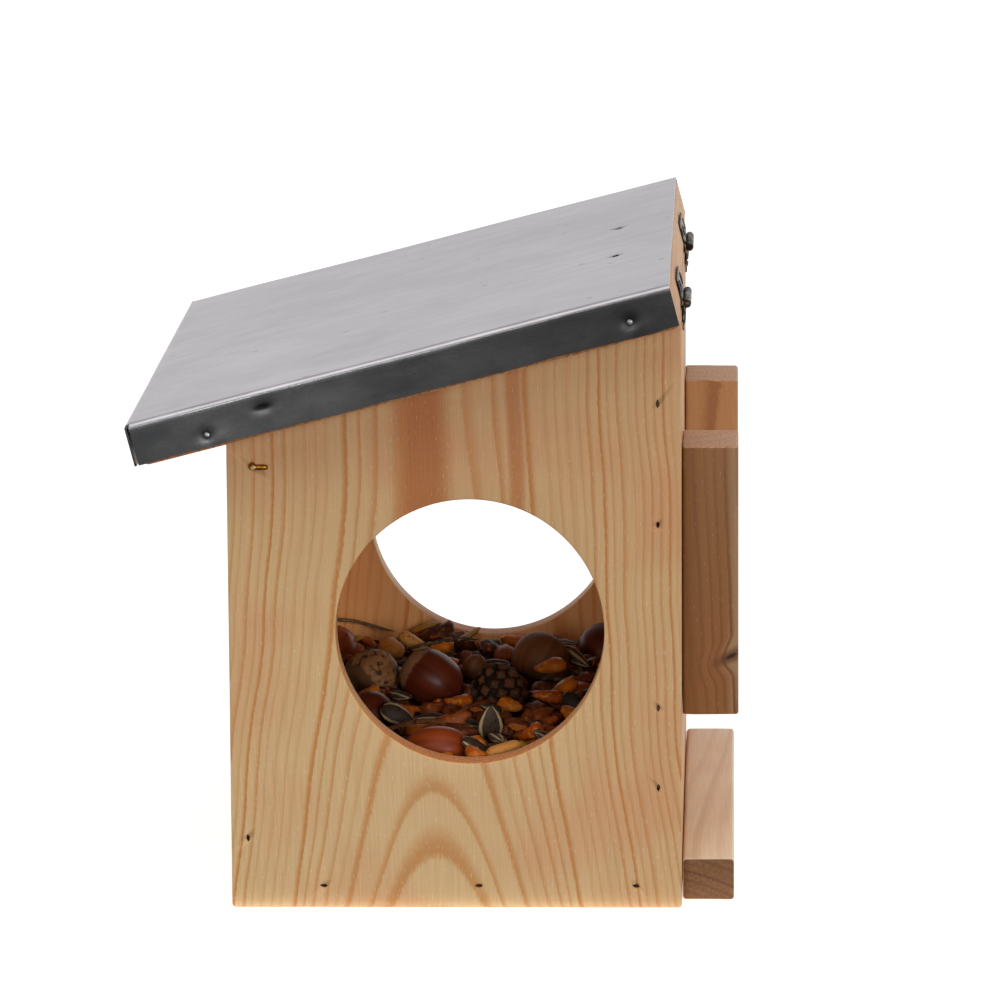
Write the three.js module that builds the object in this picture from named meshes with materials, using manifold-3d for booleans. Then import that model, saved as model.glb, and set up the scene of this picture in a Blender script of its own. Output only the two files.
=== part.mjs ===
// Squirrel feeder box: a pine box with an entrance hole in each side, filled with nuts and seeds,
// under a sloping lid of pine covered with folded zinc sheet. The lid opens on two small butt hinges.
// Millimetres, +Z up, front towards -Y, mounting battens towards +Y.
// The origin is the middle of the box's footprint, on the underside of the floor.

import * as THREE from 'three';
import { mergeGeometries, mergeVertices } from 'three/addons/utils/BufferGeometryUtils.js';
import Module from 'manifold-3d';

// Box
const innerWidth = 210;
const boxDepth = 150;
const frontHeight = 159.1;
const wallThickness = 11;
const floorThickness = 13.5;
const roofPitch = THREE.MathUtils.degToRad(14.5);
const arris = 0.6;
const jointGap = 0.2;

// Entrance hole, in both side panels
const holeDiameter = 89;
const holeBehindMiddle = 5;
const holeHeight = 93.6;

// Battens behind the box
const upperBattenDepth = 18.7;
const upperBattenWidth = 35;
const upperBattenLength = 91;
const upperBattenBelowTop = 47;
const upperBattenInset = 28;
const lowerBattenDepth = 17.3;
const lowerBattenHeight = 14.2;

// Lid: board and folded sheet
const roofSideOverhang = 21.5;
const roofFrontOverhang = 29.2;
const boardThickness = 14.25;
const boardFrontGap = 2.5;
const boardSideGap = 0.3;
const sheetThickness = 0.7;
const sheetGap = 0.2;
const lipHeight = 13.5;
const bendRadius = 2;
const cornerSeam = 0.8;
const lidSeatGap = 0.3;

// Butt hinges
const hingeLength = 30;
const hingeFromSide = 48;
const hingeLeafWidth = 9;
const hingeLeafThickness = 0.6;
const hingeSeatGap = 0.3;
const pinRadius = 0.6;
const pinGap = 0.25;
const pinHeadRadius = 1.1;
const pinHeadLength = 0.5;
const knuckleCount = 5;
const knuckleGap = 0.3;

// Hinge screws
const screwLength = 9;
const screwRadius = 1;
const screwHeadRadius = 2.1;
const screwHeadHeight = 1.3;
const screwHeadEdge = 0.3;
const screwSlotWidth = 0.6;
const screwSlotDepth = 0.5;
const screwSpacing = 18;
const screwFromPin = 5.4;
const screwTipShare = 0.4;
const screwGap = 0.25;

// Brads
const bradWidth = 2.1;
const bradThickness = 0.9;
const bradLength = 30;
const bradPoint = 2;
const bradSunk = 0.6;
const bradGap = 0.25;
const battenBradLength = 25;
const backBradInset = 7.7;
const lowBackBradHeights = [40.9, 68];
const highBackBradsBelowTop = [68.3, 27.9];
const floorBradHeight = 7.4;
const floorBradFrontInset = 30.8;
const floorBradBehindMiddle = 7.5;
const floorBradBackInset = 15.2;
const frontBradInset = 5.6;
const frontBradHeight = 23.6;
const upperBattenBradInset = 18;
const lowerBattenBradInset = 36;

// Nails of the zinc sheet
const nailLength = 12;
const nailRadius = 0.7;
const nailPoint = 1.6;
const nailHeadRadius = 1.5;
const nailHeadThickness = 0.5;
const nailGap = 0.25;
const backLipNailHeight = 6;
const frontLipNailHeight = 4.7;
const lipNailFromBack = 15.4;
const lipNailFromFront = 25.6;
const frontLipNailInset = 52.5;
const topNailSpacing = 68.6;
const topNailFromBack = 19.8;

// Brass hook
const hookRodRadius = 0.75;
const hookEmbedded = 17;
const hookReach = 2.6;
const hookBend = 1.2;
const hookArm = 5.2;
const hookCollarRadius = 1.3;
const hookCollarThickness = 0.7;
const hookFromFront = 8.6;
const hookBelowFrontTop = 9.7;
const hookGap = 0.3;

// Feed
const feedGap = 0.3;
const feedLevel = 46;
const feedRipple = 1.1;
const feedRippleLengths = [13.5, 27, 9];
const feedCornerRise = 6;
const feedColumns = 18;
const feedRows = 11;
const nutGap = 0.3;
const nutRadius = 10.4;
const nutHeight = 19;
const nutBaseRadius = 4.5;
const coneRadius = 8.6;
const coneHeight = 19;
const coneScaleWidth = 4.6;
const coneScaleThickness = 2.2;
const coneScaleRise = 3.4;
const coneScaleCount = 34;
const coneScaleLean = THREE.MathUtils.degToRad(30);
const coneScaledShare = 0.9;

// How far a cutting shape runs past the face that it cuts
const overrun = 2;

// Fineness of round shapes
const holeSegments = 32;
const knuckleSegments = 10;
const bendSegments = 4;
const fastenerSides = 12;
const rodSides = 10;
const hookSteps = 16;
const coneScaleSides = 5;

// Sizes that follow
const halfInner = innerWidth / 2;
const halfWidth = halfInner + wallThickness;
const halfDepth = boxDepth / 2;
const slope = Math.tan(roofPitch);
const roofWidth = 2 * (halfWidth + roofSideOverhang);
const roofLength = boxDepth / Math.cos(roofPitch) + roofFrontOverhang;
const backHeight = frontHeight + boxDepth * slope;
const innerDepth = boxDepth - 2 * wallThickness;
const upperBattenFoot = backHeight - upperBattenBelowTop - upperBattenLength;
const hingeSpacing = 2 * (halfWidth - hingeFromSide);
const knuckleRadius = pinRadius + pinGap + hingeLeafThickness;
const hingeStandOff = hingeSeatGap + knuckleRadius;
const lidCornerHeight = backHeight + lidSeatGap / Math.cos(roofPitch);
const pinHeight = lidCornerHeight + hingeStandOff * Math.tan(roofPitch / 2);
const pinBelowBoard = hingeStandOff * Math.tan(roofPitch / 2);
const sheetTop = boardThickness + sheetGap + sheetThickness;
const lipFoot = sheetTop - lipHeight;
const boardLength = roofLength - sheetThickness - boardFrontGap;
const boardWidth = roofWidth - 2 * (sheetThickness + boardSideGap);

// Finishes
const finishes = {
  pine: { color: 0xd3b287, roughness: 0.72, metalness: 0 },
  darkPine: { color: 0xb98b5e, roughness: 0.75, metalness: 0 },
  zincSheet: { color: 0xb2b2b8, roughness: 0.38, metalness: 0.9 },
  zincSteel: { color: 0x8d8c8a, roughness: 0.35, metalness: 0.95 },
  darkSteel: { color: 0x4b4038, roughness: 0.5, metalness: 0.9 },
  brass: { color: 0xb98a3a, roughness: 0.3, metalness: 1 },
  seedMix: { color: 0x6a4526, roughness: 0.85, metalness: 0 },
  nutShell: { color: 0x5e2d17, roughness: 0.35, metalness: 0 },
  coneScales: { color: 0x3f2616, roughness: 0.8, metalness: 0 },
};

function finish(name) {
  return new THREE.MeshStandardMaterial({ name, ...finishes[name] });
}

// Solids
const wasm = await Module();
wasm.setup();

function toSolid(geometry) {
  const bare = geometry.index ? geometry.toNonIndexed() : geometry.clone();
  bare.deleteAttribute('normal');
  bare.deleteAttribute('uv');
  const merged = mergeVertices(bare);
  const vertProperties = new Float32Array(merged.attributes.position.array);
  const triVerts = new Uint32Array(merged.index.array);
  return new wasm.Manifold(new wasm.Mesh({ numProp: 3, vertProperties, triVerts }));
}

function toGeometry(solid) {
  const mesh = solid.getMesh();
  const geometry = new THREE.BufferGeometry();
  geometry.setAttribute('position', new THREE.BufferAttribute(mesh.vertProperties, 3));
  geometry.setIndex(new THREE.BufferAttribute(mesh.triVerts, 1));
  geometry.computeVertexNormals();
  return geometry;
}

function joined(geometries) {
  const [first, ...rest] = geometries.map(toSolid);
  return toGeometry(rest.reduce((sum, solid) => sum.add(solid), first));
}

function without(geometry, cutters) {
  return toGeometry(cutters.map(toSolid).reduce((left, cutter) => left.subtract(cutter), toSolid(geometry)));
}

// Cuts placed tools out of a placed mesh, whatever groups they stand in.
function carve(mesh, tools) {
  mesh.updateWorldMatrix(true, false);
  const toMesh = mesh.matrixWorld.clone().invert();
  const cutters = tools.map((tool) => {
    tool.updateWorldMatrix(true, false);
    return tool.geometry.clone().applyMatrix4(toMesh.clone().multiply(tool.matrixWorld));
  });
  mesh.geometry = without(mesh.geometry, cutters);
}

function piece(name, geometry, finishName, parent, position = [0, 0, 0]) {
  const mesh = new THREE.Mesh(geometry, finish(finishName));
  mesh.name = name;
  mesh.position.set(...position);
  parent.add(mesh);
  return mesh;
}

// The place of a fastener whose own +Z points out of the wood, and whose own X points along across.
function fastenerPlace(position, outward, across) {
  const z = new THREE.Vector3(...outward);
  const x = new THREE.Vector3(...across);
  const y = new THREE.Vector3().crossVectors(z, x);
  return new THREE.Matrix4().makeBasis(x, y, z).setPosition(...position);
}

// A set of like fasteners, one piece each, with the pockets that they need in what they go through.
function fastenerSet(name, fastener, places, finishName, parent, toolGroup) {
  places.forEach((place, index) => {
    piece(`${name}_${index + 1}`, fastener.body, finishName, parent).applyMatrix4(place);
  });
  const pockets = places.map((place) => fastener.pocket.clone().applyMatrix4(place));
  const tool = new THREE.Mesh(mergeGeometries(pockets));
  toolGroup.add(tool);
  return tool;
}

const feeder = new THREE.Group();
const boxTools = new THREE.Group();
const lid = new THREE.Group();
const lidTools = new THREE.Group();
for (const group of [lid, lidTools]) {
  group.position.set(0, halfDepth, lidCornerHeight);
  group.rotation.x = roofPitch;
}
feeder.add(lid);

// Boards

// An outline in depth and height, extruded across the box. Every edge has a narrow chamfer.
function acrossBox(outline, width) {
  const geometry = new THREE.ExtrudeGeometry(outline, {
    depth: width - 2 * arris,
    bevelSize: arris,
    bevelThickness: arris,
    bevelOffset: -arris,
    bevelSegments: 1,
    curveSegments: holeSegments,
  });
  geometry.translate(0, 0, arris);
  return geometry.applyMatrix4(new THREE.Matrix4().makeBasis(
    new THREE.Vector3(0, 1, 0), new THREE.Vector3(0, 0, 1), new THREE.Vector3(1, 0, 0)));
}

// The outline of a board whose top follows the slope of the lid, from the front of the box.
function slopedOutline(from, to) {
  return new THREE.Shape([
    new THREE.Vector2(from, 0),
    new THREE.Vector2(to, 0),
    new THREE.Vector2(to, frontHeight + to * slope),
    new THREE.Vector2(from, frontHeight + from * slope),
  ]);
}

function rectangle(width, height) {
  return new THREE.Shape([
    new THREE.Vector2(0, 0),
    new THREE.Vector2(width, 0),
    new THREE.Vector2(width, height),
    new THREE.Vector2(0, height),
  ]);
}

function sidePanel() {
  const outline = slopedOutline(0, boxDepth);
  const hole = new THREE.Path();
  hole.absarc(halfDepth + holeBehindMiddle, holeHeight, holeDiameter / 2, 0, 2 * Math.PI, true);
  outline.holes.push(hole);
  return acrossBox(outline, wallThickness);
}

const sidePanelRight = piece('side_panel_right', sidePanel(), 'pine', feeder, [halfInner, -halfDepth, 0]);
const sidePanelLeft = piece('side_panel_left', sidePanel(), 'pine', feeder, [-halfWidth, -halfDepth, 0]);

const betweenSides = innerWidth - 2 * jointGap;
const boardLeft = -betweenSides / 2;

const frontPanel = piece('front_panel', acrossBox(slopedOutline(0, wallThickness), betweenSides),
  'pine', feeder, [boardLeft, -halfDepth, 0]);
const backOutline = slopedOutline(boxDepth - wallThickness, boxDepth);
const backPanel = piece('back_panel', acrossBox(backOutline, betweenSides),
  'pine', feeder, [boardLeft, -halfDepth, 0]);
const floorOutline = rectangle(innerDepth - 2 * jointGap, floorThickness);
const floorPanel = piece('floor_panel', acrossBox(floorOutline, betweenSides),
  'pine', feeder, [boardLeft, jointGap - innerDepth / 2, 0]);

// Battens
const battenFront = halfDepth + jointGap;
const upperBattenX = halfWidth - upperBattenInset - upperBattenWidth / 2;

function upperBatten(name, x) {
  const outline = rectangle(upperBattenDepth, upperBattenLength);
  return piece(name, acrossBox(outline, upperBattenWidth), 'darkPine', feeder,
    [x - upperBattenWidth / 2, battenFront, upperBattenFoot]);
}

const battenUpperRight = upperBatten('batten_upper_right', upperBattenX);
const battenUpperLeft = upperBatten('batten_upper_left', -upperBattenX);
const lowerBattenOutline = rectangle(lowerBattenDepth, lowerBattenHeight);
const battenLower = piece('batten_lower', acrossBox(lowerBattenOutline, betweenSides),
  'darkPine', feeder, [boardLeft, battenFront, 0]);

// Lid board and zinc sheet, in the lid's frame: +Y runs up the slope and ends at the hinged edge.
const roofBoard = piece('roof_board', acrossBox(rectangle(boardLength, boardThickness), boardWidth),
  'pine', lid, [-boardWidth / 2, -boardLength, 0]);

// The section of the sheet across the slope: a flat top, two bends and two lips, all of one thickness.
function sheetSection() {
  const half = roofWidth / 2;
  const inner = half - sheetThickness;
  const bendX = half - bendRadius;
  const bendZ = sheetTop - bendRadius;
  const innerBend = bendRadius - sheetThickness;
  const section = new THREE.Shape();
  section.moveTo(half, lipFoot);
  section.absarc(bendX, bendZ, bendRadius, 0, Math.PI / 2, false);
  section.absarc(-bendX, bendZ, bendRadius, Math.PI / 2, Math.PI, false);
  section.lineTo(-half, lipFoot);
  section.lineTo(-inner, lipFoot);
  section.absarc(-bendX, bendZ, innerBend, Math.PI, Math.PI / 2, true);
  section.absarc(bendX, bendZ, innerBend, Math.PI / 2, 0, true);
  section.lineTo(inner, lipFoot);
  section.closePath();
  return section;
}

// The section of the front lip along the slope: the last of the flat top, the bend and the lip.
function frontLipSection(topLength) {
  const bendY = -roofLength + bendRadius;
  const bendZ = sheetTop - bendRadius;
  const section = new THREE.Shape();
  section.moveTo(bendY + topLength, sheetTop);
  section.absarc(bendY, bendZ, bendRadius, Math.PI / 2, Math.PI, false);
  section.lineTo(-roofLength, lipFoot);
  section.lineTo(-roofLength + sheetThickness, lipFoot);
  section.absarc(bendY, bendZ, bendRadius - sheetThickness, Math.PI, Math.PI / 2, true);
  section.lineTo(bendY + topLength, sheetTop - sheetThickness);
  section.closePath();
  return section;
}

function plainExtrusion(section, depth) {
  return new THREE.ExtrudeGeometry(section, { depth, bevelEnabled: false, curveSegments: bendSegments });
}

function roofSheet() {
  const sideLipEnd = roofLength - sheetThickness - cornerSeam;
  const channel = plainExtrusion(sheetSection(), sideLipEnd);
  channel.rotateX(Math.PI / 2);
  const openingWidth = roofWidth - 2 * sheetThickness;
  const frontOpening = new THREE.BoxGeometry(openingWidth, roofLength, bendRadius + overrun);
  frontOpening.translate(0, -roofLength * 1.5 + bendRadius, sheetTop - (bendRadius - overrun) / 2);
  const frontLip = plainExtrusion(frontLipSection(bendRadius), roofWidth);
  frontLip.applyMatrix4(new THREE.Matrix4().makeBasis(
    new THREE.Vector3(0, 1, 0), new THREE.Vector3(0, 0, 1), new THREE.Vector3(1, 0, 0)));
  frontLip.translate(-roofWidth / 2, 0, 0);
  return joined([without(channel, [frontOpening]), frontLip]);
}

const sheet = piece('roof_sheet', roofSheet(), 'zincSheet', lid);

// Hinges

// The outline of one knuckle and the strip that it is rolled from, seen along the pin. The leaf hangs
// down from the pin with its inner face on the side of the wood, at -X here.
function knuckleSection() {
  const outerFace = -knuckleRadius + hingeLeafThickness;
  const meet = -Math.acos(outerFace / knuckleRadius);
  const stripEnd = leafTop - hingeLeafThickness;
  const section = new THREE.Shape();
  section.moveTo(outerFace, stripEnd);
  section.absarc(0, 0, knuckleRadius, meet, Math.PI, false);
  section.lineTo(-knuckleRadius, stripEnd);
  section.closePath();
  const bore = new THREE.Path();
  bore.absarc(0, 0, pinRadius + pinGap, 0, 2 * Math.PI, true);
  section.holes.push(bore);
  return section;
}

const leafTop = -(knuckleRadius + knuckleGap);

// A leaf with every other knuckle, from the given one. Own axes: X along the pin, Z up to the pin.
function hingeLeaf(firstKnuckle) {
  const pitch = hingeLength / knuckleCount;
  const plateHeight = hingeLeafWidth + leafTop;
  const plate = new THREE.BoxGeometry(hingeLength, hingeLeafThickness, plateHeight);
  plate.translate(0, -knuckleRadius + hingeLeafThickness / 2, leafTop - plateHeight / 2);
  const knuckles = [];
  for (let index = firstKnuckle; index < knuckleCount; index += 2) {
    const knuckle = new THREE.ExtrudeGeometry(knuckleSection(), {
      depth: pitch - knuckleGap,
      bevelEnabled: false,
      curveSegments: knuckleSegments,
    });
    knuckle.applyMatrix4(new THREE.Matrix4().makeBasis(
      new THREE.Vector3(0, 1, 0), new THREE.Vector3(0, 0, 1), new THREE.Vector3(1, 0, 0)));
    knuckle.translate(index * pitch + (knuckleGap - hingeLength) / 2, 0, 0);
    knuckles.push(knuckle);
  }
  return joined([plate, ...knuckles]);
}

function revolved(profile, sides) {
  const points = profile.map(([radius, height]) => new THREE.Vector2(radius, height));
  return new THREE.LatheGeometry(points, sides).rotateX(Math.PI / 2);
}

// A pin with a flattened head at each end, along X.
function hingePin() {
  const half = hingeLength / 2 + knuckleGap;
  const head = half + pinHeadLength;
  const geometry = revolved([
    [0, -head],
    [pinHeadRadius - pinHeadLength / 2, -head],
    [pinHeadRadius, -half],
    [pinRadius, -half],
    [pinRadius, half],
    [pinHeadRadius, half],
    [pinHeadRadius - pinHeadLength / 2, head],
    [0, head],
  ], fastenerSides);
  return geometry.rotateY(Math.PI / 2);
}

const hingeLeaves = { body: [], roof: [] };

function hinge(side, x) {
  const pinPosition = [x, halfDepth + hingeStandOff, pinHeight];
  hingeLeaves.body.push(
    piece(`hinge_${side}_body_leaf`, hingeLeaf(0), 'zincSteel', feeder, pinPosition));
  piece(`hinge_${side}_pin`, hingePin(), 'darkSteel', feeder, pinPosition);
  const roofLeaf = piece(`hinge_${side}_roof_leaf`, hingeLeaf(1).scale(1, 1, -1), 'zincSteel', lid,
    [x, hingeStandOff, -pinBelowBoard]);
  roofLeaf.geometry = flipped(roofLeaf.geometry);
  hingeLeaves.roof.push(roofLeaf);
}

// A mirrored geometry has its faces turned in, so this turns them out again.
function flipped(geometry) {
  const index = geometry.index.array;
  for (let corner = 0; corner < index.length; corner += 3) {
    [index[corner], index[corner + 1]] = [index[corner + 1], index[corner]];
  }
  geometry.computeVertexNormals();
  return geometry;
}

hinge('right', hingeSpacing / 2);
hinge('left', -hingeSpacing / 2);

// Hinge screws. Own axes: +Z out of the wood, with the rim of the head at the outer face of the leaf.

function screwProfile(gap) {
  return [
    [0, -screwLength - gap],
    [screwRadius * screwTipShare + gap, -screwLength + screwRadius],
    [screwRadius + gap, -screwLength + 2 * screwRadius],
    [screwRadius + gap, screwHeadEdge - screwHeadHeight],
    [screwHeadRadius + gap, 0],
  ];
}

function screw() {
  const head = [[screwHeadRadius, screwHeadEdge], [0, screwHeadEdge]];
  const pocketMouth = [[screwHeadRadius + screwGap, overrun], [0, overrun]];
  const slot = new THREE.BoxGeometry(2 * (screwHeadRadius + overrun), screwSlotWidth, 2 * screwSlotDepth);
  slot.translate(0, 0, screwHeadEdge);
  return {
    body: without(revolved([...screwProfile(0), ...head], fastenerSides), [slot]),
    pocket: revolved([...screwProfile(screwGap), ...pocketMouth], fastenerSides),
  };
}

function screwPositions() {
  return [-1, 1].flatMap((hingeSide) => [-1, 1].map(
    (screwSide) => (hingeSide * hingeSpacing + screwSide * screwSpacing) / 2));
}

const leafOuterFace = hingeSeatGap + hingeLeafThickness;

function screwRow(y, z) {
  return screwPositions().map((x) => fastenerPlace([x, y, z], [0, 1, 0], [1, 0, 0]));
}

const bodyScrewPocket = fastenerSet('hinge_body_screw', screw(),
  screwRow(halfDepth + leafOuterFace, pinHeight - screwFromPin), 'zincSteel', feeder, boxTools);
const roofScrewPocket = fastenerSet('hinge_roof_screw', screw(),
  screwRow(leafOuterFace, screwFromPin - pinBelowBoard), 'zincSteel', lid, lidTools);

// Brads. Own axes: +Z out of the wood, with the wood's face at zero, and the wide side along X.

function brad(length) {
  const foot = -bradSunk - length;
  const outline = new THREE.Shape([
    new THREE.Vector2(-bradWidth / 2, -bradSunk),
    new THREE.Vector2(-bradWidth / 2, foot + bradPoint),
    new THREE.Vector2(-bradThickness / 2, foot),
    new THREE.Vector2(bradThickness / 2, foot),
    new THREE.Vector2(bradWidth / 2, foot + bradPoint),
    new THREE.Vector2(bradWidth / 2, -bradSunk),
  ]);
  const body = plainExtrusion(outline, bradThickness);
  body.translate(0, 0, -bradThickness / 2);
  body.rotateX(Math.PI / 2);
  const pocketLength = overrun - foot + bradGap;
  const pocket = new THREE.BoxGeometry(bradWidth + 2 * bradGap, bradThickness + 2 * bradGap, pocketLength);
  pocket.translate(0, 0, overrun - pocketLength / 2);
  return { body, pocket };
}

// Places of the brads through one side panel, as depth from the front, height and wide direction.
const upright = [0, 0, 1];
const level = [0, 1, 0];
const backBradHeights = [...lowBackBradHeights, ...highBackBradsBelowTop.map((below) => backHeight - below)];
const floorBradsFromFront = [
  floorBradFrontInset,
  halfDepth + floorBradBehindMiddle,
  boxDepth - floorBradBackInset,
];
const sideBradPlaces = [
  ...backBradHeights.map((height) => [boxDepth - backBradInset, height, upright]),
  ...floorBradsFromFront.map((fromFront) => [fromFront, floorBradHeight, level]),
  [frontBradInset, frontBradHeight, upright],
];

function sideBrads(name, sign) {
  const places = sideBradPlaces.map(([fromFront, height, across]) => fastenerPlace(
    [sign * halfWidth, fromFront - halfDepth, height], [sign, 0, 0], across));
  return fastenerSet(name, brad(bradLength), places, 'darkSteel', feeder, boxTools);
}

const rightBradPocket = sideBrads('brad_right', 1);
const leftBradPocket = sideBrads('brad_left', -1);

const upperBattenBack = battenFront + upperBattenDepth;
const lowerBattenBack = battenFront + lowerBattenDepth;
const battenBradPlaces = [
  ...[-upperBattenX, upperBattenX].flatMap((x) => [
    [x, upperBattenBack, upperBattenFoot + upperBattenBradInset],
    [x, upperBattenBack, upperBattenFoot + upperBattenLength - upperBattenBradInset],
  ]),
  ...[-1, 1].map((side) => [
    side * (halfWidth - lowerBattenBradInset), lowerBattenBack, lowerBattenHeight / 2]),
];
const battenBradPocket = fastenerSet('batten_brad', brad(battenBradLength), battenBradPlaces.map(
  (position) => fastenerPlace(position, [0, 1, 0], [1, 0, 0])), 'darkSteel', feeder, boxTools);

// Nails of the sheet. Own axes: +Z out of the wood, with the sheet's outer face at zero.

function nail() {
  const foot = -nailLength;
  const under = nailGap;
  return {
    body: revolved([
      [0, foot],
      [nailRadius, foot + nailPoint],
      [nailRadius, under],
      [nailHeadRadius, under],
      [nailHeadRadius, under + nailHeadThickness / 2],
      [nailHeadRadius / 2, under + nailHeadThickness],
      [0, under + nailHeadThickness],
    ], fastenerSides),
    pocket: revolved([
      [0, foot - nailGap],
      [nailRadius + nailGap, foot - nailGap],
      [nailRadius + nailGap, overrun],
      [0, overrun],
    ], fastenerSides),
  };
}

const lipNailPositions = [
  [-lipNailFromBack, backLipNailHeight],
  [lipNailFromFront - roofLength, frontLipNailHeight],
];

function sideLipNails(name, sign) {
  const places = lipNailPositions.map(([y, z]) => fastenerPlace(
    [sign * roofWidth / 2, y, z], [sign, 0, 0], [0, 1, 0]));
  return fastenerSet(name, nail(), places, 'zincSteel', lid, lidTools);
}

const lipNailPockets = [
  sideLipNails('roof_nail_right', 1),
  sideLipNails('roof_nail_left', -1),
  fastenerSet('roof_nail_front', nail(), [-1, 1].map((side) => fastenerPlace(
    [side * (roofWidth / 2 - frontLipNailInset), -roofLength, frontLipNailHeight], [0, -1, 0], [1, 0, 0])),
  'zincSteel', lid, lidTools),
  fastenerSet('roof_nail_top', nail(), [-1, 1].map((side) => fastenerPlace(
    [side * topNailSpacing / 2, -topNailFromBack, sheetTop], [0, 0, 1], [1, 0, 0])),
  'zincSteel', lid, lidTools),
];

// Brass hook, screwed through the right side panel into the edge of the front panel.
// Own axes: +X out of the panel, with the panel's face at zero, and the arm along +Y.

function rod(path, radius, steps) {
  const section = new THREE.Shape();
  section.absarc(0, 0, radius, 0, 2 * Math.PI, false);
  return new THREE.ExtrudeGeometry(section, {
    steps,
    bevelEnabled: false,
    curveSegments: rodSides / 2,
    extrudePath: path,
  });
}

// The rod's centre line: out of the wood, round a quarter bend, and along the arm.
class HookLine extends THREE.Curve {
  getPoint(share) {
    const straight = hookEmbedded + hookReach - hookBend;
    const arc = hookBend * Math.PI / 2;
    const arm = hookArm - hookBend;
    const along = share * (straight + arc + arm);
    if (along < straight) {
      return new THREE.Vector3(along - hookEmbedded, 0, 0);
    }
    if (along < straight + arc) {
      const angle = (along - straight) / hookBend;
      return new THREE.Vector3(
        hookReach - hookBend + hookBend * Math.sin(angle), hookBend * (1 - Math.cos(angle)), 0);
    }
    return new THREE.Vector3(hookReach, hookBend + along - straight - arc, 0);
  }
}

function brassHook() {
  const collar = revolved([
    [0, hookGap],
    [hookCollarRadius, hookGap],
    [hookCollarRadius, hookGap + hookCollarThickness / 2],
    [hookRodRadius, hookGap + hookCollarThickness],
    [0, hookGap + hookCollarThickness],
  ], fastenerSides).rotateY(Math.PI / 2);
  return joined([rod(new HookLine(), hookRodRadius, hookSteps), collar]);
}

const hookPosition = [halfWidth, hookFromFront - halfDepth, frontHeight - hookBelowFrontTop];
piece('brass_hook', brassHook(), 'brass', feeder, hookPosition);
const hookPocket = new THREE.Mesh(revolved([
  [0, -hookEmbedded - hookGap],
  [hookRodRadius + hookGap, -hookEmbedded - hookGap],
  [hookRodRadius + hookGap, overrun],
  [0, overrun],
], fastenerSides).rotateY(Math.PI / 2));
hookPocket.position.set(...hookPosition);
boxTools.add(hookPocket);

// Feed: a bed of mixed seed up to the entrance holes, with larger things half sunk in its top.

// Height of the bed at a place in the box: level, gently rippled, and higher in the far front corner.
function feedHeight(x, y) {
  const [short, long, fine] = feedRippleLengths;
  const ripple = Math.sin(x / short + y / long) * Math.cos(y / fine - x / long);
  const acrossShare = (halfInner - x) / innerWidth;
  const forwardShare = (innerDepth / 2 - y) / innerDepth;
  return feedLevel + feedRipple * ripple + feedCornerRise * (acrossShare * forwardShare) ** 2;
}

function feedBed() {
  const bottom = floorThickness + feedGap;
  const width = innerWidth - 2 * feedGap;
  const depth = innerDepth - 2 * feedGap;
  const geometry = new THREE.BoxGeometry(width, depth, 1, feedColumns, feedRows, 1);
  const position = geometry.attributes.position;
  for (let point = 0; point < position.count; point += 1) {
    const surface = feedHeight(position.getX(point), position.getY(point));
    position.setZ(point, position.getZ(point) > 0 ? surface : bottom);
  }
  return geometry;
}

// A hazelnut along Z: a broad flat base, a full middle and a blunt tip.
function hazelnut(grow) {
  const scale = 1 + grow / nutRadius;
  const shares = [
    [nutBaseRadius / nutRadius, -0.5],
    [0.8, -0.41],
    [0.98, -0.2],
    [0.98, 0.02],
    [0.8, 0.24],
    [0.48, 0.41],
    [0.14, 0.49],
  ];
  const profile = shares.map(([radiusShare, heightShare]) => [
    radiusShare * nutRadius * scale, heightShare * nutHeight * scale]);
  const top = nutHeight * scale / 2;
  return revolved([[0, -top], ...profile, [0, top]], fastenerSides);
}

// A small woody cone along Z: an egg-shaped core with rows of blunt scales in a spiral.
function woodyCone() {
  const core = new THREE.SphereGeometry(1, fastenerSides, fastenerSides / 2);
  core.scale(coneRadius - coneScaleThickness / 2, coneRadius - coneScaleThickness / 2, coneHeight / 2);
  const goldenAngle = Math.PI * (3 - Math.sqrt(5));
  const scales = [];
  for (let index = 0; index < coneScaleCount; index += 1) {
    const heightShare = coneScaledShare * (2 * (index + 0.5) / coneScaleCount - 1);
    const ringShare = Math.sqrt(1 - heightShare ** 2);
    const scale = new THREE.SphereGeometry(1, coneScaleSides, coneScaleSides - 1);
    scale.scale(coneScaleThickness, coneScaleWidth / 2, coneScaleRise / 2);
    scale.rotateY(-coneScaleLean);
    scale.translate((coneRadius - coneScaleThickness) * ringShare, 0, heightShare * coneHeight / 2);
    scale.rotateZ(index * goldenAngle);
    scales.push(scale);
  }
  return joined([core, ...scales]);
}

// The hollow that the cone leaves in the feed.
function coneCover() {
  const cover = new THREE.SphereGeometry(1, fastenerSides, fastenerSides / 2);
  const reach = coneRadius + coneScaleThickness / 2 + nutGap;
  cover.scale(reach, reach, coneHeight / 2 + coneScaleThickness + nutGap);
  return cover;
}

// Where things lie on the feed, as shares of the box's inner half width and half depth, with how far
// their middle stands over the bed as a share of their half height, and their turns about X, Y and Z.
const nutShares = [
  [-0.102, -0.205, 0.6, 1.25, 0.1, 0.5],
  [-0.184, -0.54, 0.55, 0.5, 1.0, 0.2],
  [-0.445, 0.373, 0.6, 1.4, 0.2, 1.9],
];
const coneShares = [0.038, 0.161, 0.55, 1.15, 0.15, 0.3];

function feedPlace([xShare, yShare, riseShare, turnX, turnY, turnZ], halfHeight) {
  const x = xShare * halfInner;
  const y = yShare * innerDepth / 2;
  const place = new THREE.Matrix4().makeRotationFromEuler(new THREE.Euler(turnX, turnY, turnZ, 'ZYX'));
  return place.setPosition(x, y, feedHeight(x, y) + riseShare * halfHeight);
}

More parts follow.
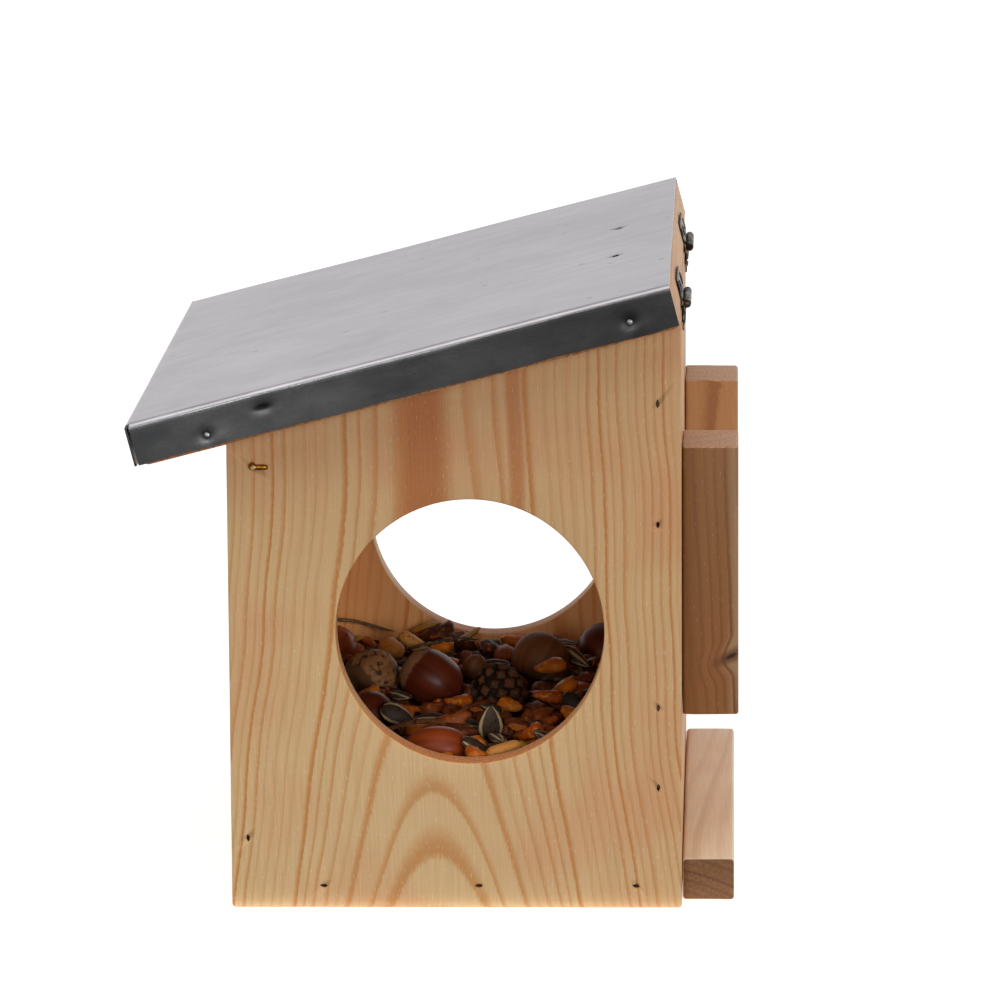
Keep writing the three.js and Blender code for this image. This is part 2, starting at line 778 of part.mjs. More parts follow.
const nutPlaces = nutShares.map((shares) => feedPlace(shares, nutHeight / 2));
const conePlace = feedPlace(coneShares, coneRadius);
const feedHollows = [
  ...nutPlaces.map((place) => hazelnut(nutGap).applyMatrix4(place)),
  coneCover().applyMatrix4(conePlace),
];

piece('feed_bed', without(feedBed(), feedHollows), 'seedMix', feeder);
nutPlaces.forEach((place, index) => {
  piece(`hazelnut_${index + 1}`, hazelnut(0), 'nutShell', feeder).applyMatrix4(place);
});
piece('woody_cone', woodyCone(), 'coneScales', feeder).applyMatrix4(conePlace);

// Pockets and bores in the wood, the sheet and the hinge leaves
carve(sidePanelRight, [rightBradPocket, hookPocket]);
carve(sidePanelLeft, [leftBradPocket]);
carve(frontPanel, [rightBradPocket, leftBradPocket, hookPocket]);
carve(floorPanel, [rightBradPocket, leftBradPocket]);
carve(backPanel, [rightBradPocket, leftBradPocket, battenBradPocket, bodyScrewPocket]);
carve(battenUpperRight, [battenBradPocket]);
carve(battenUpperLeft, [battenBradPocket]);
carve(battenLower, [battenBradPocket]);
carve(roofBoard, [...lipNailPockets, roofScrewPocket]);
carve(sheet, lipNailPockets);
for (const leaf of hingeLeaves.body) {
  carve(leaf, [bodyScrewPocket]);
}
for (const leaf of hingeLeaves.roof) {
  carve(leaf, [roofScrewPocket]);
}

export default feeder;
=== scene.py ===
"""The looks of a squirrel feeder box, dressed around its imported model.

A pine box with a round entrance in each side stands under a sloping lid of pine and folded zinc
sheet. Two butt hinges carry the lid, three battens stand the box off its tree, and a bed of nuts
and seeds fills it up to the entrances.

The frame is the model's own: +Z up, the low front edge of the lid towards -Y, the battens towards
+Y, and the side panel with the brass hook towards +X. Shapes are worked out in millimetres and
become metres when a mesh is made. The lid's pieces are worked out in the lid's own frame, in which
+Y runs up the slope and the hinged corner of the board is the origin.
"""

import logging  # noqa: E402
import math  # noqa: E402
from collections.abc import Callable, Sequence  # noqa: E402
from dataclasses import dataclass, field, replace  # noqa: E402
from enum import Enum  # noqa: E402

import bmesh  # noqa: E402
import bpy  # noqa: E402
import numpy as np  # noqa: E402
from mathutils import Matrix, Vector  # noqa: E402


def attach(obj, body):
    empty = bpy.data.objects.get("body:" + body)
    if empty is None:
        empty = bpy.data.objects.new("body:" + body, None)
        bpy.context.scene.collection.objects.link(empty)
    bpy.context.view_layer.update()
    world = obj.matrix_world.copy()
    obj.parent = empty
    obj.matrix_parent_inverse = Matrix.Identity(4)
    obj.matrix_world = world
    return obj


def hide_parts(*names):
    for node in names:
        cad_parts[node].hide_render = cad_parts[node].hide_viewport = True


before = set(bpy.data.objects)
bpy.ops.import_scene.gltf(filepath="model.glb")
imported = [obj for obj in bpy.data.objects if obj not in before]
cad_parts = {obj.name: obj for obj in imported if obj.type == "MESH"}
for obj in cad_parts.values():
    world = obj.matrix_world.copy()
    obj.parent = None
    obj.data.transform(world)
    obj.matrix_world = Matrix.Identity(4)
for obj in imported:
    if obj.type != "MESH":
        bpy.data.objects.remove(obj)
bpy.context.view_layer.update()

METRES_PER_MM = 0.001
MM_PER_METRE = 1000.0
MERGE_DISTANCE = 1e-6
CREASE = 32.0
SIDES = (-1.0, 1.0)
QUARTER = math.pi / 2.0
FULL_TURN = 2.0 * math.pi

log = logging.getLogger("feeder")

Array = np.ndarray
Material = bpy.types.Material
Socket = bpy.types.NodeSocket
Value = Socket | float | Sequence[float]
Pair = tuple[float, float]
Triple = tuple[float, float, float]
Colour = tuple[float, float, float, float]
Outline = Callable[[Array], Array]


class Body(Enum):
    """The bodies that pieces ride on."""

    BOX = "box"
    LID = "lid"


class Axis(Enum):
    """An axis of the frame, by its place in a point."""

    X = 0
    Y = 1
    Z = 2


# Places


def placed(shift: Sequence[float], turned: Array | None = None) -> Array:
    """The 4 by 4 matrix of a 3 by 3 turn, where one is given, and of the shift after it.

    Args:
        shift: The shift.
        turned: The turn.

    Returns:
        A 4 by 4 matrix.
    """
    matrix = np.eye(4)
    matrix[:3, :3] = np.eye(3) if turned is None else turned
    matrix[:3, 3] = shift
    return matrix


def sideways(x: float) -> Array:
    """The matrix that lays own X and Y along the frame's Y and Z, and own Z along X from a place."""
    return placed((x, 0.0, 0.0), np.eye(3)[:, [1, 2, 0]])


def fastener_matrix(position: Sequence[float], outward: Sequence[float], across: Sequence[float]) -> Array:
    """Where a fastener stands: its own +Z points out of the wood and its own X lies across.

    Args:
        position: Middle of its head, in millimetres.
        outward: The way out of the wood.
        across: The way that its wide side lies.

    Returns:
        A 4 by 4 matrix.
    """
    return placed(position, np.stack([across, np.cross(outward, across), outward], axis=1))


def turn(angles: Sequence[float]) -> Array:
    """The 3 by 3 matrix of turns about X, then Y, then Z, in radians.

    Args:
        angles: The angles about X, Y and Z.

    Returns:
        A 3 by 3 matrix.
    """
    cx, cy, cz = np.cos(angles)
    sx, sy, sz = np.sin(angles)
    about_x = np.array([[1, 0, 0], [0, cx, -sx], [0, sx, cx]])
    about_y = np.array([[cy, 0, sy], [0, 1, 0], [-sy, 0, cy]])
    about_z = np.array([[cz, -sz, 0], [sz, cz, 0], [0, 0, 1]])
    return about_z @ about_y @ about_x


@dataclass(frozen=True)
class BoxPlan:
    """The sizes that several sub-assemblies share, in millimetres and degrees."""

    half_inner: float = 105.0
    wall: float = 11.0
    floor: float = 13.5
    half_depth: float = 75.0
    front_height: float = 159.1
    pitch: float = 14.5
    joint_gap: float = 0.2
    lid_seat_gap: float = 0.3
    hole_radius: float = 44.5
    hole_y: float = 5.0
    hole_z: float = 93.6
    pin_stand_off: float = 1.75

    @property
    def half_width(self) -> float:
        """Half of the width over the side panels."""
        return self.half_inner + self.wall

    @property
    def half_between(self) -> float:
        """Half of the length of a board that fits between the side panels or over the battens."""
        return self.half_inner - self.joint_gap

    @property
    def back_height(self) -> float:
        """Height of the side panels at the back."""
        return self.height_at(self.half_depth)

    @property
    def lid_corner_height(self) -> float:
        """Height of the lid frame's origin."""
        return self.back_height + self.lid_seat_gap / math.cos(math.radians(self.pitch))

    @property
    def pin_drop(self) -> float:
        """How far the hinge pins lie under the lid frame's origin, in that frame."""
        return self.pin_stand_off * math.tan(math.radians(self.pitch / 2.0))

    @property
    def pin_height(self) -> float:
        """Height of the hinge pins."""
        return self.lid_corner_height + self.pin_drop

    def height_at(self, y: float) -> float:
        """Height of the box's sloping top at a depth."""
        return self.front_height + (y + self.half_depth) * math.tan(math.radians(self.pitch))

    def lid_matrix(self) -> Array:
        """The turn and shift from the lid's own frame to the model's frame."""
        turned = turn((math.radians(self.pitch), 0.0, 0.0))
        return placed((0.0, self.half_depth, self.lid_corner_height), turned)


PLAN = BoxPlan()


# Shapes


@dataclass
class Shell:
    """A surface: points in millimetres, faces of four corners, and numbers that go with the points."""

    points: Array
    faces: Array
    fields: dict[str, Array] = field(default_factory=dict)

    def moved(self, matrix: Array) -> "Shell":
        """The same surface, turned and shifted by a 4 by 4 matrix."""
        return replace(self, points=self.points @ matrix[:3, :3].T + matrix[:3, 3])

    @staticmethod
    def joined(shells: Sequence["Shell"]) -> "Shell":
        """Several surfaces as one.

        Args:
            shells: Surfaces that all carry the same named numbers.

        Returns:
            One surface with the points and faces of them all.
        """
        counts = np.cumsum([0] + [len(shell.points) for shell in shells[:-1]])
        return Shell(
            np.concatenate([shell.points for shell in shells]),
            np.concatenate([shell.faces + count for shell, count in zip(shells, counts)]),
            {name: np.concatenate([shell.fields[name] for shell in shells]) for name in shells[0].fields},
        )


def grid_shell(
    points: Array, wrap_rows: bool = False, wrap_columns: bool = True, fields: dict[str, Array] | None = None
) -> Shell:
    """The surface through a grid of points: each face joins two neighbours in two neighbour rows.

    Args:
        points: Rows by columns by 3.
        wrap_rows: Whether the last row joins the first.
        wrap_columns: Whether the last column joins the first.
        fields: Numbers of the points, each rows by columns.

    Returns:
        The surface.
    """
    index = np.arange(points[..., 0].size).reshape(points.shape[:2])
    if wrap_rows:
        index = np.concatenate([index, index[:1]])
    if wrap_columns:
        index = np.concatenate([index, index[:, :1]], axis=1)
    corners = [index[:-1, :-1], index[:-1, 1:], index[1:, 1:], index[1:, :-1]]
    faces = np.stack([corner.ravel() for corner in corners], axis=1)
    flat = {name: np.asarray(values, float).ravel() for name, values in (fields or {}).items()}
    return Shell(points.reshape(-1, 3), faces, flat)


def spots(*axes: Array | float) -> Array:
    """Points from their numbers along each axis, each of which is spread over the others' grid."""
    return np.stack(np.broadcast_arrays(*axes), axis=-1)


def on_circle(angle: Array) -> Array:
    """Points of the unit circle: the cosine and the sine of each angle."""
    return spots(np.cos(angle), np.sin(angle))


def round_turn(columns: int) -> Array:
    """Angles that go once round a circle in equal steps."""
    return np.linspace(0.0, FULL_TURN, columns, endpoint=False)


def rectangle(left: float, right: float, low: float, high: float) -> tuple[Pair, ...]:
    """The corners of a rectangle, anticlockwise."""
    return ((left, low), (right, low), (right, high), (left, high))


def ripples(places: Array, wavelength: float, seed: int, waves: int = 7) -> Array:
    """Smooth random waves: the sum of sines along random directions, each with a random phase and
    a length near the one that is given, brought to about -1 to 1.

    Args:
        places: Points, each a row of the last axis, with any number of coordinates.
        wavelength: The middle wave length, in the unit of the points.
        seed: Start of the random draw.
        waves: How many sines are added.

    Returns:
        One number for each point.
    """
    rng = np.random.default_rng(seed)
    directions = rng.normal(size=(places.shape[-1], waves))
    directions /= np.linalg.norm(directions, axis=0)
    lengths = wavelength * rng.uniform(0.6, 1.7, waves)
    phases = rng.uniform(0.0, FULL_TURN, waves)
    return np.sin(places @ directions / lengths * FULL_TURN + phases).sum(axis=-1) / math.sqrt(2.0 * waves)


def bell(places: Array, centre: Sequence[float], reach: Sequence[float]) -> Array:
    """A round bump: e to the power of minus the squared distance from the centre, each axis being
    measured in its own reach.

    Args:
        places: Points, last axis as long as the centre.
        centre: Middle of the bump.
        reach: Distance along each axis at which the bump has fallen to about a third.

    Returns:
        One number from 0 to 1 for each point.
    """
    return np.exp(-(((places - np.asarray(centre)) / np.asarray(reach)) ** 2).sum(axis=-1))


def rounded_outline(corners: Sequence[Pair], radius: float, step: float) -> tuple[Array, Array]:
    """An outline with rounded corners: straight sides cut into equal steps, and at each corner an
    arc whose middle lies a radius inside both sides.

    Args:
        corners: The corners, anticlockwise.
        radius: Radius of the arcs.
        step: Longest step along a side.

    Returns:
        The points and the outward directions there, each rows of 2.
    """
    arc_steps = 5
    corner = np.asarray(corners, float)
    side = np.roll(corner, -1, axis=0) - corner
    length = np.linalg.norm(side, axis=1)
    along = side / length[:, None]
    outward = np.stack([along[:, 1], -along[:, 0]], axis=1)
    before = np.roll(outward, 1, axis=0)
    turned = np.arccos(np.clip((before * outward).sum(axis=1), -1.0, 1.0))
    setback = radius * np.tan(turned / 2.0)
    points, normals = [], []
    for index in range(len(corner)):
        start_angle = math.atan2(before[index, 1], before[index, 0])
        arc_normals = on_circle(start_angle + turned[index] * np.linspace(0.0, 1.0, arc_steps))
        middle = corner[index] + along[index] * setback[index] - outward[index] * radius
        first, last = setback[index], length[index] - setback[(index + 1) % len(corner)]
        count = max(2, int(round((last - first) / step)))
        places = np.linspace(first, last, count + 1)[1:-1]
        points += [middle + radius * arc_normals, corner[index] + places[:, None] * along[index]]
        normals += [arc_normals, np.repeat(outward[index : index + 1], len(places), axis=0)]
    return np.concatenate(points), np.concatenate(normals)


@dataclass(frozen=True)
class Slab:
    """A board: a flat outline with thickness, softened along every edge.

    The outline lies in the own X and Y axes, and the thickness runs along Z from zero.
    """

    corners: Sequence[Pair]
    thickness: float
    arris: float = 0.7
    step: float = 2.5
    wear: float = 0.35
    seed: int = 1
    hole: Triple | None = None
    wear_lengths: Pair = (19.0, 23.0)
    corner_share: float = 1.6
    rim_share: float = 0.6
    arris_steps: int = 5

    def shell(self) -> Shell:
        """The board's skin. Each ring of the grid is the outline moved in by an amount and set at a
        height: from the middle of one face out to its arris, round the edge, and back to the
        middle of the other face. An arris is a quarter circle. With a hole, the rings start and
        end at its wall instead.

        Returns:
            A closed surface.
        """
        outline, outward = rounded_outline(self.corners, self.corner_share * self.arris, self.step)
        low, high = (
            self.arris * (1.0 + self.wear * ripples(outline, length, self.seed + index))
            for index, length in enumerate(self.wear_lengths)
        )
        shares = 1.0 - on_circle(np.linspace(0.0, QUARTER, self.arris_steps))[:, ::-1]
        edge = [(low * inset, low * rise) for inset, rise in shares]
        edge += [(high * inset, self.thickness - high * rise) for inset, rise in shares[::-1]]
        rings = [np.column_stack([outline - inset[:, None] * outward, height]) for inset, height in edge]
        if self.hole is None:
            middle = outline.mean(axis=0)
            first, last = (self._to_middle(ring, middle) for ring in (rings[0], rings[-1]))
            return grid_shell(np.stack(first[::-1] + rings + last))
        x, y, radius = self.hole
        away = outline - (x, y)
        away /= np.linalg.norm(away, axis=1)[:, None]
        rim = self.rim_share * self.arris * shares
        edge = [(inset, self.thickness - rise) for inset, rise in rim[::-1]] + list(rim[::-1])
        wall = [
            np.column_stack([(x, y) + (radius + inset) * away, np.full(len(away), height)])
            for inset, height in edge
        ]
        up, down = wall[: self.arris_steps], wall[self.arris_steps :]
        faces = [self._between(down[-1], rings[0]), rings, self._between(rings[-1], up[-1])]
        return grid_shell(np.stack(up[::-1] + down + sum(faces, [])), wrap_rows=True)

    @staticmethod
    def _between(first: Array, last: Array) -> list[Array]:
        """Five rings that lie evenly between two rings."""
        return [first + (last - first) * share for share in np.linspace(0.0, 1.0, 7)[1:-1]]

    @staticmethod
    def _to_middle(ring: Array, middle: Array) -> list[Array]:
        """Rings that shrink from a ring to the middle of its face."""
        centre = np.append(middle, ring[0, 2])
        return [centre + (ring - centre) * share for share in (0.7, 0.35, 0.0)]


def lathe(profile: Array | Sequence[Pair], columns: int, fields: bool = False) -> Shell:
    """A turned shape about Z: each row of the grid is a circle of the profile's radius at its
    height. Rows of no radius close to a point.

    Args:
        profile: Rows of radius and height, from the foot to the top.
        columns: Points round each circle.
        fields: Whether the points carry their share of the way along and around.

    Returns:
        The surface.
    """
    angle = round_turn(columns)
    radius, height = np.hsplit(np.asarray(profile), 2)
    points = spots(radius * np.cos(angle), radius * np.sin(angle), height)
    if not fields:
        return grid_shell(points)
    along, around = np.broadcast_arrays(np.linspace(0.0, 1.0, len(points))[:, None], angle)
    return grid_shell(points, fields={"along": along, "around": around})


def tube(path: Array, radius: Array, columns: int) -> Shell:
    """A round bar: circles carried along a path, square to it. The circle's own axes are kept as
    near as they can be to the world's up direction. The ends close to points.

    Args:
        path: Points of the centre line.
        radius: Radius at each point.
        columns: Points round each circle.

    Returns:
        A closed surface.
    """
    ahead = np.gradient(path, axis=0)
    ahead /= np.linalg.norm(ahead, axis=1)[:, None]
    side = np.cross(ahead, (0.0, 0.0, 1.0))
    side /= np.linalg.norm(side, axis=1)[:, None]
    up = np.cross(side, ahead)
    angle = round_turn(columns)[:, None]
    circles = np.cos(angle) * side[:, None] + np.sin(angle) * up[:, None]
    rings = path[:, None] + radius[:, None, None] * circles
    ends = [np.repeat(path[end][None, None], columns, axis=1) for end in (0, -1)]
    return grid_shell(np.concatenate([ends[0], rings, ends[1]]))


# From surfaces to pieces


def make_mesh(name: str, shell: Shell, crease: float = CREASE, closed: bool = True) -> bpy.types.Mesh:
    """Puts a surface into a mesh in metres, merges the points that meet, and marks sharp edges.

    Args:
        name: Name of the mesh.
        shell: The surface.
        crease: Angle in degrees over which an edge stays sharp.
        closed: Whether the surface is closed, so that its faces can be turned outwards.

    Returns:
        The mesh.
    """
    mesh = bpy.data.meshes.new(name)
    mesh.vertices.add(len(shell.points))
    mesh.vertices.foreach_set("co", (shell.points * METRES_PER_MM).astype(np.float32).ravel())
    mesh.loops.add(shell.faces.size)
    mesh.loops.foreach_set("vertex_index", shell.faces.astype(np.int32).ravel())
    mesh.polygons.add(len(shell.faces))
    mesh.polygons.foreach_set("loop_start", np.arange(0, shell.faces.size, 4, dtype=np.int32))
    for label, values in shell.fields.items():
        mesh.attributes.new(label, "FLOAT", "POINT").data.foreach_set("value", values.astype(np.float32))
    mesh.update(calc_edges=True)
    work = bmesh.new()
    work.from_mesh(mesh)
    bmesh.ops.remove_doubles(work, verts=work.verts, dist=MERGE_DISTANCE)
    if closed:
        bmesh.ops.recalc_face_normals(work, faces=work.faces)
    work.to_mesh(mesh)
    work.free()
    mesh.polygons.foreach_set("use_smooth", np.ones(len(mesh.polygons), dtype=bool))
    mesh.set_sharp_from_angle(angle=math.radians(crease))
    if not closed:
        of_loops = np.empty(len(mesh.loops), dtype=np.int32)
        mesh.loops.foreach_get("edge_index", of_loops)
        sharp = np.empty(len(mesh.edges), dtype=bool)
        mesh.edges.foreach_get("use_edge_sharp", sharp)
        open_edges = np.bincount(of_loops, minlength=len(sharp)) == 1
        mesh.edges.foreach_set("use_edge_sharp", sharp | open_edges)
    return mesh


def place_piece(
    name: str,
    shell: Shell,
    material: Material,
    body: Body,
    replaces: Sequence[str] = (),
    crease: float = CREASE,
    closed: bool = True,
) -> bpy.types.Object:
    """Makes a piece of the feeder and lets it ride on its body.

    Args:
        name: Name of the piece.
        shell: Its surface, in the model's frame.
        material: Its finish.
        body: The body that it rides on.
        replaces: The CAD nodes that it stands for.
        crease: Angle in degrees over which an edge stays sharp.
        closed: Whether the surface is closed.

    Returns:
        The object.
    """
    piece = bpy.data.objects.new(name, make_mesh(name, shell, crease, closed))
    bpy.context.scene.collection.objects.link(piece)
    piece.data.materials.append(material)
    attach(piece, body.value)
    if replaces:
        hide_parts(*replaces)
    log.info("%s: %d faces, rides on %s", name, len(piece.data.polygons), body.value)
    return piece


def carve(piece: bpy.types.Object, cutter: Shell) -> None:
    """Cuts closed surfaces out of a piece and keeps the result as its mesh.

    Args:
        piece: The piece.
        cutter: What is cut away, in millimetres.
    """
    tool = bpy.data.objects.new("cutter", make_mesh("cutter", cutter))
    bpy.context.scene.collection.objects.link(tool)
    modifier = piece.modifiers.new("pockets", "BOOLEAN")
    modifier.operation, modifier.solver, modifier.object = "DIFFERENCE", "EXACT", tool
    cut = bpy.data.meshes.new_from_object(piece.evaluated_get(bpy.context.evaluated_depsgraph_get()))
    piece.modifiers.clear()
    piece.data = cut
    bpy.data.objects.remove(tool)


def numbered(name: str, count: int) -> list[str]:
    """Node names that end in 1, 2 and so on."""
    return [f"{name}_{index + 1}" for index in range(count)]


# Finishes


def srgb(red: int, green: int, blue: int) -> Colour:
    """A colour of a screen, from 0 to 255 each, as the light that it stands for.

    Args:
        red: Red, 0 to 255.
        green: Green.
        blue: Blue.

    Returns:
        The linear colour, with full cover.
    """
    shares = np.array([red, green, blue]) / 255.0
    linear = np.where(shares <= 0.04045, shares / 12.92, ((shares + 0.055) / 1.055) ** 2.4)
    return (*map(float, linear), 1.0)


class Graph:
    """A node tree, built up by calls that each return the socket they end in."""

    def __init__(self, name: str, world: bpy.types.World | None = None) -> None:
        """Starts an empty tree.

        Args:
            name: Name of the material.
            world: The world whose tree it is, where it isn't a material's.
        """
        self.owner = world or bpy.data.materials.new(name)
        self.owner.use_nodes = True
        self.tree = self.owner.node_tree
        self.tree.nodes.clear()
        self.source = self.tree.nodes.new("ShaderNodeTexCoord")

    def node(self, kind: str, inputs: dict[int | str, Value], **settings: object) -> bpy.types.Node:
        """Adds a node.

        Args:
            kind: What follows "ShaderNode" in Blender's name of the node.
            inputs: What each input takes: another node's output, or a value.
            settings: The node's own settings.

        Returns:
            The node.
        """
        made = self.tree.nodes.new("ShaderNode" + kind)
        for name, setting in settings.items():
            setattr(made, name, setting)
        for key, value in inputs.items():
            if isinstance(value, bpy.types.NodeSocket):
                self.tree.links.new(value, made.inputs[key])
            else:
                made.inputs[key].default_value = value
        return made

    def math(self, operation: str, *values: Value) -> Socket:
        """A sum of one to three numbers."""
        return self.node("Math", dict(enumerate(values)), operation=operation).outputs[0]

    def plus(self, first: Value, second: Value) -> Socket:
        """The sum of two numbers."""
        return self.math("ADD", first, second)

    def less(self, first: Value, second: Value) -> Socket:
        """The difference of two numbers."""
        return self.math("SUBTRACT", first, second)

    def times(self, first: Value, second: Value) -> Socket:
        """The product of two numbers."""
        return self.math("MULTIPLY", first, second)

    def share_of(self, first: Value, second: Value) -> Socket:
        """The product of two numbers, kept from 0 to 1."""
        inputs = {0: first, 1: second}
        return self.node("Math", inputs, operation="MULTIPLY", use_clamp=True).outputs[0]

    def line(self, value: Value, slope: Value, start: Value) -> Socket:
        """A number times a slope, plus a start."""
        return self.math("MULTIPLY_ADD", value, slope, start)

    def millimetres(self, centre: Sequence[float] = (0.0, 0.0, 0.0), pitch: float = 0.0) -> Socket:
        """The place on the object, in millimetres from a centre, turned back by a pitch about X.

        Args:
            centre: Where the pattern's own origin lies, in millimetres.
            pitch: How far the pattern is tipped up about X, in degrees.

        Returns:
            A vector.
        """
        angle = math.radians(-pitch)
        shift = -(Matrix.Rotation(angle, 3, "X") @ Vector(centre))
        inputs = {"Vector": self.source.outputs["Object"], "Location": shift, "Rotation": (angle, 0.0, 0.0)}
        return self.node("Mapping", inputs | {"Scale": (MM_PER_METRE,) * 3}).outputs[0]

    def facing(self, pitch: float) -> list[Socket]:
        """The face's own direction, turned back by a pitch about X, as three numbers."""
        inputs = {"Vector": self.source.outputs["Normal"], "Rotation": (math.radians(-pitch), 0.0, 0.0)}
        return self.split(self.node("Mapping", inputs).outputs[0])

    def split(self, vector: Socket) -> list[Socket]:
        """The three numbers of a vector."""
        return list(self.node("SeparateXYZ", {0: vector}).outputs)

    def combine(self, x: Value, y: Value, z: Value) -> Socket:
        """A vector of three numbers."""
        return self.node("CombineXYZ", {0: x, 1: y, 2: z}).outputs[0]

    def stretched(self, vector: Socket, scale: Sequence[float]) -> Socket:
        """A vector with each number multiplied by its own scale."""
        return self.node("VectorMath", {0: vector, 1: scale}, operation="MULTIPLY").outputs[0]

    def distance(self, place: Socket, spot: Sequence[float] = (0.0, 0.0, 0.0)) -> Socket:
        """How far a place is from a spot."""
        return self.node("VectorMath", {0: place, 1: spot}, operation="DISTANCE").outputs["Value"]

    def noise(self, vector: Socket, scale: float | Triple, detail: float = 2.0, rough: float = 0.5) -> Socket:
        """Cloudy noise, from 0 to 1, with this many clouds in each unit of the vector.

        Args:
            vector: The place.
            scale: Clouds in each unit, the same for all axes or each its own.
            detail: How many finer layers are added.
            rough: How strong each finer layer is.

        Returns:
            A number.
        """
        if isinstance(scale, tuple):
            vector, scale = self.stretched(vector, scale), 1.0
        inputs = {"Vector": vector, "Scale": scale, "Detail": detail, "Roughness": rough}
        return self.node("TexNoise", inputs).outputs[0]

    def rise(self, value: Socket, low: float, high: float) -> Socket:
        """A smooth step: 0 up to the low value, 1 from the high one."""
        inputs = {0: value, 1: low, 2: high, 3: 0.0, 4: 1.0}
        return self.node("MapRange", inputs, interpolation_type="SMOOTHSTEP").outputs[0]

    def fall(self, value: Socket, low: float, high: float) -> Socket:
        """A smooth step down: 1 up to the low value, 0 from the high one."""
        return self.less(1.0, self.rise(value, low, high))

    def spread(self, value: Socket, low: float, high: float) -> Socket:
        """A number from 0 to 1 brought between two others."""
        return self.node("MapRange", {0: value, 1: 0.0, 2: 1.0, 3: low, 4: high}).outputs[0]

    def swayed(self, value: Socket, share: Socket, reach: float) -> Socket:
        """A number moved up or down by up to a reach, by a share from 0 to 1."""
        return self.plus(value, self.spread(share, -reach, reach))

    def mix(self, share: Value, first: Value, second: Value, mode: str = "MIX") -> Socket:
        """Two colours mixed by a share."""
        inputs = {0: share, 6: first, 7: second}
        return self.node("Mix", inputs, data_type="RGBA", blend_type=mode).outputs[2]

    def tinted(self, colour: Value, tint: Value) -> Socket:
        """A colour multiplied by another."""
        return self.mix(1.0, colour, tint, "MULTIPLY")

    def shaded(self, colour: Value, share: Socket, low: float, high: float) -> Socket:
        """A colour made darker or lighter by a share from 0 to 1, brought between two factors."""
        shade = self.spread(share, low, high)
        return self.tinted(colour, self.combine(shade, shade, shade))

    def grey_ramp(self, share: Socket, stops: Sequence[Pair]) -> Socket:
        """A grey from a row of greys, each given by its share of the way along and its level.

        Args:
            share: What picks the grey.
            stops: Rows of a place from 0 to 1 and its brightness.

        Returns:
            The grey.
        """
        made = self.node("ValToRGB", {0: share})
        elements = made.color_ramp.elements
        while len(elements) < len(stops):
            elements.new(0.5)
        for element, (place, level) in zip(elements, stops):
            element.position = place
            element.color = (level, level, level, 1.0)
        return made.outputs[0]

    def number(self, name: str) -> Socket:
        """A number that the mesh carries at its points."""
        return self.node("Attribute", {}, attribute_name=name).outputs["Fac"]

    def bump(self, height: Socket, strength: float, depth: float, under: Socket | None = None) -> Socket:
        """A bent normal from a height.

        Args:
            height: Height from 0 to 1.
            strength: Share of the bend that shows.
            depth: What a height of 1 stands for, in millimetres.
            under: A bent normal that this one adds to.

        Returns:
            The normal.
        """
        inputs = {"Height": height, "Strength": strength, "Distance": depth * METRES_PER_MM}
        return self.node("Bump", inputs | ({"Normal": under} if under else {})).outputs[0]

    def close(self, kind: str, inputs: dict[int | str, Value]) -> None:
        """Ends the tree with a surface shader or the world's own.

        Args:
            kind: The shader.
            inputs: What its inputs take.
        """
        shader = self.node(kind, inputs)
        self.node("OutputWorld" if kind == "Background" else "OutputMaterial", {0: shader.outputs[0]})

    def finish(self, colour: Value, roughness: Value, normal: Socket | None = None, **fixed: float) -> Material:
        """Closes the tree with the surface shader.

        Args:
            colour: Base colour.
            roughness: Roughness.
            normal: Bent normal.
            fixed: Other inputs of the shader by name, with spaces as underscores.

        Returns:
            The material.
        """
        inputs = {"Base Color": colour, "Roughness": roughness} | ({"Normal": normal} if normal else {})
        self.close("BsdfPrincipled", inputs | {name.replace("_", " "): value for name, value in fixed.items()})
        return self.owner


@dataclass(frozen=True)
class Palette:
    """The colours of one kind of timber."""

    early: Colour
    late: Colour
    rosy: Colour
    end: Colour


PINE = Palette(srgb(210, 177, 130), srgb(190, 130, 70), srgb(208, 162, 118), srgb(216, 154, 102))
WARM_PINE = Palette(srgb(206, 158, 105), srgb(184, 116, 60), srgb(206, 148, 100), srgb(176, 118, 70))
# The batten palettes are copies of one pine set darker or lighter for how light falls on each batten: painted
# shade on the upright battens' long faces, painted light on their upward ends and on the low batten's long
# faces.
NEAR_BATTEN_PINE = Palette(srgb(140, 94, 50), srgb(121, 75, 35), srgb(148, 92, 54), srgb(224, 178, 142))
FAR_BATTEN_PINE = Palette(srgb(180, 130, 82), srgb(150, 96, 50), srgb(180, 124, 80), srgb(226, 186, 152))
LOW_BATTEN_PINE = Palette(srgb(246, 220, 188), srgb(228, 190, 152), srgb(244, 212, 180), srgb(118, 74, 28))


